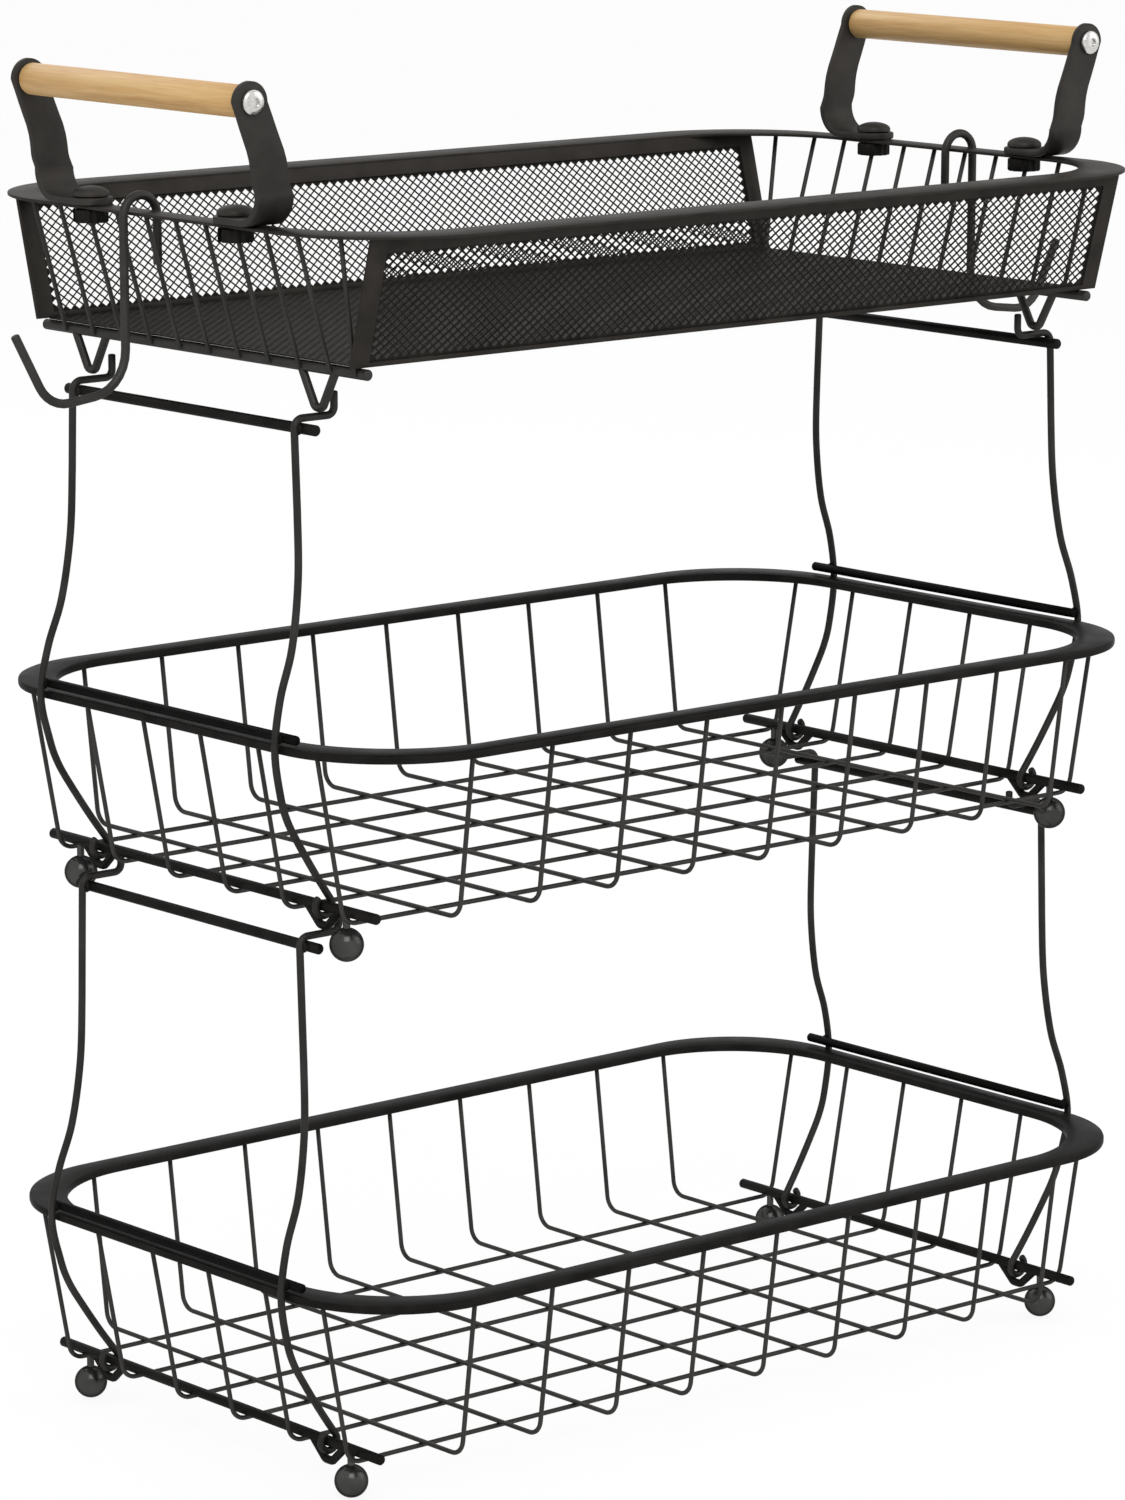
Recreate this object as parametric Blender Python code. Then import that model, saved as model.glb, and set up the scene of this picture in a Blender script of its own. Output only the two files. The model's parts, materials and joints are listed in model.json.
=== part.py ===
"""Tiered fruit basket: three wire baskets on folding end frames, with two carrying handles.

The origin is on the table under the middle of the baskets. X runs along the baskets,
Y across them and Z up. Left is -X, right is +X, near is -Y and far is +Y.
All sizes are in metres.
"""

from math import asin, atan2, ceil, cos, hypot, pi, radians, sin, sqrt, tan

import bmesh
import bpy
from mathutils import Quaternion, Vector

# Clearances

GAP = 0.0003
WELD_BITE = 0.00015
BULGE_CLEARANCE = 0.0005
SWING_CLEARANCE = 0.0004

# Rims: a flat strip bent into a rounded rectangle

RIM_HALF_LENGTH = 0.200
RIM_HALF_WIDTH = 0.122
RIM_CORNER_RADIUS = 0.050
RIM_STRIP_WIDTH = 0.0105
RIM_THICKNESS = 0.0032
RIM_HEIGHT = 0.060
TOP_RIM_THICKNESS = 0.0012
TOP_RIM_HEIGHT = 0.049
TOP_SIDE_STRIP_WIDTH = 0.01775
TOP_HOLE_CORNER_RADIUS = 0.045
RIM_CORNER_STEPS = 7

# Wires of the two lower baskets

WIRE_RADIUS = 0.0009
WIRE_BEND_RADIUS = 0.0064
LENGTHWISE_WIRES = 6
CROSSWISE_WIRES = 9
OUTER_WIRE_INSET = 0.03625
END_CROSSWISE_INSET = 0.0512
LONG_WALL_LEAN = 0.008
END_WALL_OUTSET = 0.002
WIRE_SIDES = 6

# End rails, with the V-shaped feet that sit in the frames' hooks

RAIL_RADIUS = 0.002
RAIL_INSET = 0.022
RAIL_OVERHANG = 0.01275
TOP_RAIL_OVERHANG = 0.01025
RAIL_SIDES = 10
FOOT_WIRE_RADIUS = 0.0016
FOOT_DEPTH = 0.0073
TOP_FOOT_DEPTH = 0.0142
FOOT_HALF_SPREAD = 0.010
FOOT_PLACE_SHARE = 0.53
FOOT_HALF_FLAT = 0.002
FOOT_BEND_RADIUS = 0.0025

# Ball feet, each on a short neck under the end rail

BALL_RADIUS = 0.0063
BALL_OUTSET = 0.003
BALL_NECK_RADIUS = 0.0014
BALL_REST_RADIUS = 0.0014
BALL_SIDES = 11
BALL_STEPS = 6

# Heights of the bottom basket's end rails, and from those of one basket to the next

BOTTOM_RAIL_Z = 0.0184
LOWER_RISE = 0.2016
UPPER_RISE = 0.194

# Folding end frames

UPRIGHT_RADIUS = 0.0014
EYE_WRAP = radians(270)
EYE_LEAN = radians(35)
UPRIGHT_STRAIGHT_OFFSET = 0.010
UPRIGHT_SPLAY = 0.0032
HOOK_INSET = 0.0016
UPRIGHT_SIDES = 6
BULGE_STEPS = 2
BAR_RADIUS = 0.0018
BAR_OVERHANG = 0.0084
ROD_RADIUS = 0.002
ROD_OVERHANG = 0.0084
ROD_END_CLEARANCE = 0.001
LIP_REACH = 0.008
LIP_RISE = 0.006
TOP_LIP_RISE = 0.0085
LIP_BEND_RADIUS = 0.003

# The upright's bulge. Heights are shares of the rim's height over the end rail. Up to the
# rim the offsets are shares of the bulge, and past it of the bulge over the straight part.
BULGE_RISE_SHARES = (0.20, 0.40, 0.56, 0.72, 1.0)
BULGE_OFFSET_SHARES = (0.17, 0.50, 0.735, 0.875, 1.0)
WAIST_RISE_SHARES = (1.30, 1.60, 2.0, 2.4)
WAIST_OFFSET_SHARES = (0.77, 0.32, 0.05, 0.0)

# Top basket: end wires, mesh sides and mesh floor

TOP_END_WIRES = 11
TOP_END_PITCH_SHARE = 0.2035
TOP_END_SHIFT_SHARE = 0.4
SIDE_FOOT_INSET = 0.029
SIDE_FRAME_INSET = 0.016
SIDE_FRAME_THICKNESS = 0.002
SIDE_POST_WIDTH = 0.0075
SIDE_TOP_BAND = 0.0048
SIDE_BOTTOM_BAND = 0.002
MESH_THICKNESS = 0.0008
MESH_STRAND = 0.0024
SIDE_COLUMN_COUNT = 13
SIDE_ROW_COUNT = 2
FLOOR_COLUMN_COUNT = 9
FLOOR_ROW_COUNT = 5

# Handles

GRIP_RADIUS = 0.00575
GRIP_HEIGHT = 0.0444
GRIP_LEAN = 0.0105
GRIP_EDGE = 0.0008
GRIP_SIDES = 16
STRAP_REACH = 0.022375
STRAP_THICKNESS = 0.0025
STRAP_HALF_WIDTH = 0.008
STRAP_TOP_RADIUS = 0.0073
STRAP_BEND_RADIUS = 0.010
STRAP_FOOT_INSET = 0.005
STRAP_BEND_STEPS = 4
STRAP_ROUND_STEPS = 4

# How the strap leans out: shares of the grip's height and of the grip's reach past the foot
STRAP_RISE_SHARES = (0.33, 0.52, 0.70, 1.0)
STRAP_LEAN_SHARES = (0.19, 0.21, 0.50, 1.0)

CAP_RADIUS = 0.0067
CAP_HEIGHT = 0.0037
CAP_PLACE_SHARE = 0.5
NUT_RADIUS = 0.0065
NUT_HEIGHT = 0.0048
NUT_SIDES = 14
SCREW_RADIUS = 0.0045
SCREW_HEIGHT = 0.0024
DOME_STEPS = 4
DOME_SIDES = 14
DOME_EDGE_SHARE = 0.35

# Hanging hooks

# Where they hang: shares of the end wires' pitch from the middle end wire
HOOK_PLACE_SHARES = (1.175, 0.775)
HOOK_WIRE_RADIUS = 0.00165
HOOK_CROOK_RADIUS = 0.0075
HOOK_CROOK_STEPS = 6
HOOK_INNER_LEG = (0.018, 0.013)
HOOK_SHANK_DROP = 0.0615
HOOK_BOTTOM_DROP = 0.0655
HOOK_BOTTOM_OUT = 0.034
HOOK_TIP_OUT = 0.0485
HOOK_TIP_DROP = 0.0385
HOOK_BEND_RADIUS = 0.016
HOOK_TIP_BEND_RADIUS = 0.013

BEND_STEP = radians(36)
SMOOTH_ANGLE = radians(50)

# Sizes that follow

RAIL_OUT = RIM_HALF_LENGTH - RAIL_INSET
OUTER_WIRE_Y = RIM_HALF_WIDTH - OUTER_WIRE_INSET
TOP_END_PITCH = TOP_END_PITCH_SHARE * OUTER_WIRE_Y
TOP_END_SHIFT = TOP_END_SHIFT_SHARE * TOP_END_PITCH
LENGTHWISE_PITCH = 2 * OUTER_WIRE_Y / (LENGTHWISE_WIRES - 1)
CROSSWISE_PITCH = 2 * (RIM_HALF_LENGTH - END_CROSSWISE_INSET) / (CROSSWISE_WIRES - 1)
FOOT_Y = OUTER_WIRE_Y - FOOT_PLACE_SHARE * LENGTHWISE_PITCH
STRIP_MID_OUT = RIM_HALF_LENGTH - RIM_STRIP_WIDTH / 2
STRIP_MID_Y = RIM_HALF_WIDTH - RIM_STRIP_WIDTH / 2

LENGTHWISE_DROP = RAIL_RADIUS + GAP + WIRE_RADIUS
FLAT_SHARE = cos(pi / WIRE_SIDES)
CROSSWISE_DROP = LENGTHWISE_DROP - 2 * WIRE_RADIUS * FLAT_SHARE + WELD_BITE

BALL_Y = FOOT_Y + FOOT_HALF_SPREAD + BALL_OUTSET
BALL_DROP = BOTTOM_RAIL_Z - BALL_RADIUS
BALL_NECK_HEIGHT = BALL_DROP - RAIL_RADIUS - GAP

MIDDLE_RAIL_Z = BOTTOM_RAIL_Z + LOWER_RISE
TOP_RAIL_Z = MIDDLE_RAIL_Z + UPPER_RISE

BULGE_OFFSET = RIM_HALF_LENGTH - RAIL_OUT + UPRIGHT_RADIUS + BULGE_CLEARANCE
EYE_RADIUS = RAIL_RADIUS + GAP + UPRIGHT_RADIUS
ROD_OFFSET = UPRIGHT_STRAIGHT_OFFSET - UPRIGHT_RADIUS - GAP - ROD_RADIUS
HOOK_SEAT_BEND = UPRIGHT_RADIUS + GAP + ROD_RADIUS
SEAT_DROP = FOOT_WIRE_RADIUS + GAP + UPRIGHT_RADIUS
LOWER_SEAT_HEIGHT = LOWER_RISE - FOOT_DEPTH - SEAT_DROP
UPPER_SEAT_HEIGHT = UPPER_RISE - TOP_FOOT_DEPTH - SEAT_DROP
LOWER_ROD_HALF_LENGTH = BALL_Y - BALL_RADIUS - ROD_END_CLEARANCE
HOOK_Y = FOOT_Y - HOOK_INSET
UPPER_ROD_HALF_LENGTH = HOOK_Y + ROD_OVERHANG
BAR_HALF_LENGTH = FOOT_Y + UPRIGHT_SPLAY + (BAR_OVERHANG + UPRIGHT_RADIUS) / 2
BAR_MIDDLE = (BAR_OVERHANG - UPRIGHT_RADIUS) / 2
BAR_OFFSET = BULGE_OFFSET - UPRIGHT_RADIUS - BAR_RADIUS - GAP
RIM_EDGE_REACH = hypot(RIM_HALF_LENGTH - RAIL_OUT, RIM_HEIGHT + RIM_THICKNESS / 2)
BAR_REACH = RIM_EDGE_REACH + SWING_CLEARANCE + BAR_RADIUS
BAR_HEIGHT = sqrt(BAR_REACH ** 2 - BAR_OFFSET ** 2)

SIDE_HALF_LENGTH = RIM_HALF_LENGTH - SIDE_FRAME_INSET
SIDE_FOOT_HALF_WIDTH = RIM_HALF_WIDTH - SIDE_FOOT_INSET
SIDE_TOP_HALF_WIDTH = RIM_HALF_WIDTH - TOP_SIDE_STRIP_WIDTH + SIDE_FRAME_THICKNESS / 2
TOP_RIM_UNDERSIDE = TOP_RIM_HEIGHT - TOP_RIM_THICKNESS / 2
TOP_RIM_TOP = TOP_RIM_HEIGHT + TOP_RIM_THICKNESS / 2
SIDE_LEAN = atan2(SIDE_TOP_HALF_WIDTH - SIDE_FOOT_HALF_WIDTH, TOP_RIM_UNDERSIDE - RAIL_RADIUS)
SIDE_CORNER_RISE = SIDE_FRAME_THICKNESS / 2 * sin(SIDE_LEAN)
SIDE_FOOT_HEIGHT = RAIL_RADIUS + GAP + SIDE_CORNER_RISE
SIDE_HEAD_HEIGHT = TOP_RIM_UNDERSIDE - GAP - SIDE_CORNER_RISE
SIDE_LENGTH = (SIDE_HEAD_HEIGHT - SIDE_FOOT_HEIGHT) / cos(SIDE_LEAN)
FLOOR_HALF_WIDTH = SIDE_FOOT_HALF_WIDTH - SIDE_FRAME_THICKNESS / 2 * cos(SIDE_LEAN) - GAP
FLOOR_HALF_LENGTH = RAIL_OUT + RAIL_RADIUS - BULGE_CLEARANCE
END_FOOT_LIMIT = SIDE_FOOT_HALF_WIDTH - SIDE_FRAME_THICKNESS / 2 - WIRE_RADIUS - BULGE_CLEARANCE

STRAP_FOOT_OUT = RIM_HALF_LENGTH - STRAP_FOOT_INSET
GRIP_OUT = STRAP_FOOT_OUT + GRIP_LEAN
STRAP_FOOT_HEIGHT = TOP_RIM_TOP + GAP + STRAP_THICKNESS / 2
CAP_Y = CAP_PLACE_SHARE * OUTER_WIRE_Y
STRAP_MID_Y = CAP_Y + STRAP_REACH
STRAP_INNER_Y = STRAP_MID_Y - STRAP_THICKNESS / 2
STRAP_OUTER_Y = STRAP_MID_Y + STRAP_THICKNESS / 2
GRIP_Z = TOP_RIM_TOP + GRIP_HEIGHT

SIDES = (("left", -1), ("right", 1))
FACES = (("near", -1), ("far", 1))


# Clean start

for old_object in list(bpy.data.objects):
    bpy.data.objects.remove(old_object)


# Materials

def make_material(name, colour, roughness, metallic):
    material = bpy.data.materials.new(name)
    material.use_nodes = True
    shader = material.node_tree.nodes["Principled BSDF"]
    shader.inputs["Base Color"].default_value = (*colour, 1.0)
    shader.inputs["Roughness"].default_value = roughness
    shader.inputs["Metallic"].default_value = metallic
    return material


BLACK_COAT = make_material("black_coat", (0.022, 0.021, 0.021), 0.42, 0.2)
GREY_COAT = make_material("grey_coat", (0.075, 0.070, 0.066), 0.48, 0.2)
MESH_COAT = make_material("mesh_coat", (0.020, 0.019, 0.018), 0.55, 0.2)
BALL_COAT = make_material("ball_coat", (0.035, 0.035, 0.037), 0.22, 0.4)
WOOD = make_material("wood", (0.66, 0.41, 0.16), 0.5, 0.0)
BRIGHT_STEEL = make_material("bright_steel", (0.72, 0.72, 0.72), 0.25, 1.0)


# Placing

def make_empty(name, location, turn=0.0, parent=None):
    empty = bpy.data.objects.new(name, None)
    bpy.context.scene.collection.objects.link(empty)
    empty.location = location
    empty.rotation_euler = (0, 0, turn)
    empty.parent = parent
    return empty


def finish_mesh(name, bm, smooth=True):
    bmesh.ops.recalc_face_normals(bm, faces=bm.faces)
    mesh = bpy.data.meshes.new(name)
    bm.to_mesh(mesh)
    bm.free()
    if smooth:
        mesh.shade_smooth()
        mesh.set_sharp_from_angle(angle=SMOOTH_ANGLE)
    return mesh


def place(name, mesh, material, parent, location=(0, 0, 0), rotation=(0, 0, 0)):
    placed = bpy.data.objects.new(name, mesh)
    bpy.context.scene.collection.objects.link(placed)
    placed.parent = parent
    placed.location = location
    placed.rotation_euler = rotation
    if not mesh.materials:
        mesh.materials.append(material)
    return placed


def weld(base, added_mesh, parent):
    """Join a second mesh to an object with a Boolean union."""
    added = bpy.data.objects.new(base.name + "_welded", added_mesh)
    bpy.context.scene.collection.objects.link(added)
    added.parent = parent
    added.hide_render = True
    added.display_type = "WIRE"
    union = base.modifiers.new("weld", "BOOLEAN")
    union.operation = "UNION"
    union.solver = "EXACT"
    union.object = added


# Shapes

def add_tube(bm, path, radius, sides, across):
    """A closed tube along a path, mitred at each point. The first corner looks along across."""
    points = [Vector(point) for point in path]
    runs = [(b - a).normalized() for a, b in zip(points, points[1:])]
    side = Vector(across).normalized()
    over = runs[0].cross(side)
    corners = []
    for k in range(sides):
        angle = 2 * pi * k / sides
        corners.append(points[0] + radius * (cos(angle) * side + sin(angle) * over))
    rings = [corners]
    for i, centre in enumerate(points[1:]):
        run = runs[i]
        next_run = runs[min(i + 1, len(runs) - 1)]
        normal = (run + next_run).normalized()
        corners = [c + run * ((centre - c).dot(normal) / run.dot(normal)) for c in corners]
        rings.append(corners)
    add_loft(bm, rings)


def add_loft(bm, rings):
    """A closed solid through rings of the same number of points."""
    verts = [[bm.verts.new(point) for point in ring] for ring in rings]
    count = len(verts[0])
    for ring, next_ring in zip(verts, verts[1:]):
        for k in range(count):
            j = (k + 1) % count
            bm.faces.new((ring[k], ring[j], next_ring[j], next_ring[k]))
    bm.faces.new(verts[0])
    bm.faces.new(verts[-1])


def rounded_path(corners, radii):
    """A path through corners, each but the first and last rounded to its radius."""
    points = [Vector(corner) for corner in corners]
    path = [points[0]]
    for before, corner, after, radius in zip(points, points[1:], points[2:], radii):
        run_in = (corner - before).normalized()
        run_out = (after - corner).normalized()
        turn = run_in.angle(run_out)
        axis = run_in.cross(run_out).normalized()
        start = corner - run_in * radius * tan(turn / 2)
        centre = start + axis.cross(run_in) * radius
        steps = max(1, ceil(turn / BEND_STEP - 0.5))
        for k in range(steps + 1):
            path.append(centre + Quaternion(axis, turn * k / steps) @ (start - centre))
    path.append(points[-1])
    return path


def smooth_between(points, steps):
    """Points on a Catmull-Rom curve through the given points."""
    ends = [points[0]] + points + [points[-1]]
    curve = [points[0]]
    for a, b, c, d in zip(ends, ends[1:], ends[2:], ends[3:]):
        for k in range(1, steps + 1):
            t = k / steps
            bend = (c - a) * t + (2 * a - 5 * b + 4 * c - d) * t ** 2
            bend += (3 * b - a - 3 * c + d) * t ** 3
            curve.append(b + bend / 2)
    return curve


def rounded_rectangle(half_x, half_y, radius):
    """Outline points, anticlockwise from the +X side's +Y corner."""
    outline = []
    for quarter, (sx, sy) in enumerate(((1, 1), (-1, 1), (-1, -1), (1, -1))):
        for k in range(RIM_CORNER_STEPS + 1):
            angle = (quarter + k / RIM_CORNER_STEPS) * pi / 2
            x = sx * (half_x - radius) + radius * cos(angle)
            y = sy * (half_y - radius) + radius * sin(angle)
            outline.append(Vector((x, y, 0)))
    return outline


def add_plate(bm, faces, thickness, up):
    """Give flat faces a thickness, half of it to each side."""
    made = bmesh.ops.extrude_face_region(bm, geom=faces)
    raised = [item for item in made["geom"] if isinstance(item, bmesh.types.BMVert)]
    bmesh.ops.translate(bm, verts=raised, vec=Vector(up) * thickness)
    bmesh.ops.translate(bm, verts=bm.verts, vec=Vector(up) * (-thickness / 2))


def flat_ring(outer, inner, thickness, up):
    bm = bmesh.new()
    outer_verts = [bm.verts.new(point) for point in outer]
    inner_verts = [bm.verts.new(point) for point in inner]
    faces = []
    for k in range(len(outer)):
        j = (k + 1) % len(outer)
        ring_face = (outer_verts[k], outer_verts[j], inner_verts[j], inner_verts[k])
        faces.append(bm.faces.new(ring_face))
    add_plate(bm, faces, thickness, up)
    return bm


def turned(profile, sides):
    """A closed solid turned about Z from (radius, height) points, bottom to top."""
    rings = []
    for radius, height in profile:
        ring = []
        for k in range(sides):
            angle = 2 * pi * k / sides
            ring.append(Vector((radius * cos(angle), radius * sin(angle), height)))
        rings.append(ring)
    bm = bmesh.new()
    add_loft(bm, rings)
    return bm


def dome(radius, height):
    """A low domed head, flat underneath."""
    edge = height * DOME_EDGE_SHARE
    profile = [(radius, 0)]
    for k in range(DOME_STEPS):
        angle = pi / 2 * k / DOME_STEPS
        profile.append((radius * cos(angle), edge + (height - edge) * sin(angle)))
    return turned(profile, DOME_SIDES)


# Rims

def make_rim(name, material, parent, height, thickness, side_strip, hole_radius):
    outer = rounded_rectangle(RIM_HALF_LENGTH, RIM_HALF_WIDTH, RIM_CORNER_RADIUS)
    hole_half_length = RIM_HALF_LENGTH - RIM_STRIP_WIDTH
    inner = rounded_rectangle(hole_half_length, RIM_HALF_WIDTH - side_strip, hole_radius)
    bm = flat_ring(outer, inner, thickness, (0, 0, 1))
    place(name, finish_mesh(name, bm), material, parent, location=(0, 0, height))


# Wires of a lower basket

def wire_loops(count, pitch, half_top, half_floor, top, floor, along):
    """Parallel wires that hang from the rim, turn and cross the floor."""
    bm = bmesh.new()
    for k in range(count):
        place_across = (k - (count - 1) / 2) * pitch
        outline = (-half_top, top), (-half_floor, floor), (half_floor, floor), (half_top, top)
        if along == "X":
            corners = [(out, place_across, height) for out, height in outline]
            across = (0, 1, 0)
        else:
            corners = [(place_across, out, height) for out, height in outline]
            across = (1, 0, 0)
        path = rounded_path(corners, (WIRE_BEND_RADIUS, WIRE_BEND_RADIUS))
        add_tube(bm, path, WIRE_RADIUS, WIRE_SIDES, across)
    return bm


def make_cage(tier, parent):
    top = RIM_HEIGHT - RIM_THICKNESS / 2 - GAP
    floor_half_length = RAIL_OUT + LENGTHWISE_DROP + END_WALL_OUTSET
    lengthwise = wire_loops(LENGTHWISE_WIRES, LENGTHWISE_PITCH, STRIP_MID_OUT,
                            floor_half_length, top, -LENGTHWISE_DROP, "X")
    crosswise = wire_loops(CROSSWISE_WIRES, CROSSWISE_PITCH, STRIP_MID_Y,
                           STRIP_MID_Y - LONG_WALL_LEAN, top, -CROSSWISE_DROP, "Y")
    cage = place(tier + "_wires", finish_mesh(tier + "_wires", lengthwise), BLACK_COAT, parent)
    weld(cage, finish_mesh(tier + "_cross_wires", crosswise), parent)


# End rails and their feet, in the frame of one end: +X outward, Z from the rail's axis

def add_feet(bm, depth):
    for side in (-1, 1):
        middle = side * FOOT_Y
        corners = [
            (0, middle - FOOT_HALF_SPREAD, 0),
            (0, middle - FOOT_HALF_FLAT, -depth),
            (0, middle + FOOT_HALF_FLAT, -depth),
            (0, middle + FOOT_HALF_SPREAD, 0),
        ]
        path = rounded_path(corners, (FOOT_BEND_RADIUS, FOOT_BEND_RADIUS))
        add_tube(bm, path, FOOT_WIRE_RADIUS, WIRE_SIDES, (1, 0, 0))


def rail_mesh(name, half_length):
    bm = bmesh.new()
    ends = [(0, -half_length, 0), (0, half_length, 0)]
    add_tube(bm, ends, RAIL_RADIUS, RAIL_SIDES, (1, 0, 0))
    return finish_mesh(name, bm)


def make_rail(name, end):
    rail = place(name, rail_mesh(name, OUTER_WIRE_Y + RAIL_OVERHANG), BLACK_COAT, end)
    feet = bmesh.new()
    add_feet(feet, FOOT_DEPTH)
    weld(rail, finish_mesh(name + "_feet", feet), end)


def ball_profile():
    """A ball round the origin, with a small flat to rest on and a neck on top."""
    top_turn = pi - asin(BALL_NECK_RADIUS / BALL_RADIUS)
    profile = [(BALL_REST_RADIUS, -BALL_RADIUS)]
    for k in range(1, BALL_STEPS + 1):
        angle = top_turn * k / BALL_STEPS
        profile.append((BALL_RADIUS * sin(angle), -BALL_RADIUS * cos(angle)))
    return profile + [(BALL_NECK_RADIUS, BALL_NECK_HEIGHT)]


def make_balls(tier, side, sign, end):
    for face, face_sign in FACES:
        name = "_".join((tier, "ball", side, face))
        spot = (0, sign * face_sign * BALL_Y, -BALL_DROP)
        ball = finish_mesh(name, turned(ball_profile(), BALL_SIDES))
        place(name, ball, BALL_COAT, end, location=spot)


def make_lower_basket(tier, basket, ends):
    make_rim(tier + "_rim", BLACK_COAT, basket, RIM_HEIGHT, RIM_THICKNESS,
             RIM_STRIP_WIDTH, RIM_CORNER_RADIUS)
    make_cage(tier, basket)
    for side, sign in SIDES:
        make_rail("_".join((tier, "rail", side)), ends[side])
        make_balls(tier, side, sign, ends[side])


# Folding end frames, in the frame of one end

def upright_lean(height, seat_height):
    """How much further from the middle an upright lies at a height than at its eye."""
    if height < RIM_HEIGHT:
        return UPRIGHT_SPLAY * height / RIM_HEIGHT
    over = (height - RIM_HEIGHT) / (seat_height - RIM_HEIGHT)
    return UPRIGHT_SPLAY - (UPRIGHT_SPLAY + HOOK_INSET) * over


def upright_path(seat_height, lip_rise, side):
    """From the eye round the rail, up the bulge, to the hook under the next basket's foot."""
    path = []
    eye_steps = ceil(EYE_WRAP / BEND_STEP)
    for k in range(eye_steps + 1):
        angle = pi - EYE_LEAN + EYE_WRAP * (1 - k / eye_steps)
        path.append(Vector((EYE_RADIUS * cos(angle), side * FOOT_Y, EYE_RADIUS * sin(angle))))
    bends = [path[-1]]
    for rise, out in zip(BULGE_RISE_SHARES, BULGE_OFFSET_SHARES):
        y = side * (FOOT_Y + upright_lean(rise * RIM_HEIGHT, seat_height))
        bends.append(Vector((out * BULGE_OFFSET, y, rise * RIM_HEIGHT)))
    waist = BULGE_OFFSET - UPRIGHT_STRAIGHT_OFFSET
    for rise, out in zip(WAIST_RISE_SHARES, WAIST_OFFSET_SHARES):
        offset = UPRIGHT_STRAIGHT_OFFSET + out * waist
        y = side * (FOOT_Y + upright_lean(rise * RIM_HEIGHT, seat_height))
        bends.append(Vector((offset, y, rise * RIM_HEIGHT)))
    path += smooth_between(bends, BULGE_STEPS)[1:]
    y = side * HOOK_Y
    corners = [
        path[-1],
        (UPRIGHT_STRAIGHT_OFFSET, y, seat_height),
        (-LIP_REACH, y, seat_height),
        (-LIP_REACH, y, seat_height + lip_rise),
    ]
    return path + rounded_path(corners, (HOOK_SEAT_BEND, LIP_BEND_RADIUS))[1:]


def make_upright(name, end, side, seat_height, lip_rise):
    bm = bmesh.new()
    path = upright_path(seat_height, lip_rise, side)
    add_tube(bm, path, UPRIGHT_RADIUS, UPRIGHT_SIDES, (0, 1, 0))
    place(name, finish_mesh(name, bm), BLACK_COAT, end)


def make_bar(name, end, radius, half_length, location):
    bm = bmesh.new()
    add_tube(bm, [(0, -half_length, 0), (0, half_length, 0)], radius, RAIL_SIDES, (1, 0, 0))
    place(name, finish_mesh(name, bm), BLACK_COAT, end, location=location)


def make_frame(level, side, sign, end, seat_height, lip_rise, rod_half_length):
    for face, face_sign in FACES:
        name = "_".join((level, "upright", side, face))
        make_upright(name, end, sign * face_sign, seat_height, lip_rise)
    make_bar("_".join((level, "bar", side)), end, BAR_RADIUS, BAR_HALF_LENGTH,
             (BAR_OFFSET, BAR_MIDDLE, BAR_HEIGHT))
    make_bar("_".join((level, "rod", side)), end, ROD_RADIUS, rod_half_length,
             (ROD_OFFSET, 0, seat_height - HOOK_SEAT_BEND))


# Top basket

def end_wire_places():
    return [TOP_END_SHIFT + (k - (TOP_END_WIRES - 1) / 2) * TOP_END_PITCH
            for k in range(TOP_END_WIRES)]


def strip_middle_out(y):
    """How far out the middle of the rim's strip lies at one place across, from the middle."""
    corner_y = RIM_HALF_WIDTH - RIM_CORNER_RADIUS
    over = max(0, abs(y) - corner_y)
    bend = RIM_CORNER_RADIUS - RIM_STRIP_WIDTH / 2
    return RIM_HALF_LENGTH - RIM_CORNER_RADIUS + sqrt(bend ** 2 - over ** 2)


def make_end_grille(side, end):
    name = "top_end_" + side
    grille = place(name, rail_mesh(name, OUTER_WIRE_Y + TOP_RAIL_OVERHANG), BLACK_COAT, end)
    bm = bmesh.new()
    add_feet(bm, TOP_FOOT_DEPTH)
    foot = (RAIL_RADIUS + WIRE_RADIUS) * FLAT_SHARE - WELD_BITE
    for y in end_wire_places():
        foot_y = max(-END_FOOT_LIMIT, min(y, END_FOOT_LIMIT))
        head = (strip_middle_out(y) - RAIL_OUT, y, TOP_RIM_UNDERSIDE - GAP)
        add_tube(bm, [(foot, foot_y, -WIRE_RADIUS), head], WIRE_RADIUS, WIRE_SIDES, (0, 1, 0))
    weld(grille, finish_mesh(name + "_wires", bm), end)


def rectangle(low_x, high_x, low_z, high_z):
    corners = ((low_x, low_z), (high_x, low_z), (high_x, high_z), (low_x, high_z))
    return [Vector((x, 0, z)) for x, z in corners]


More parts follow.
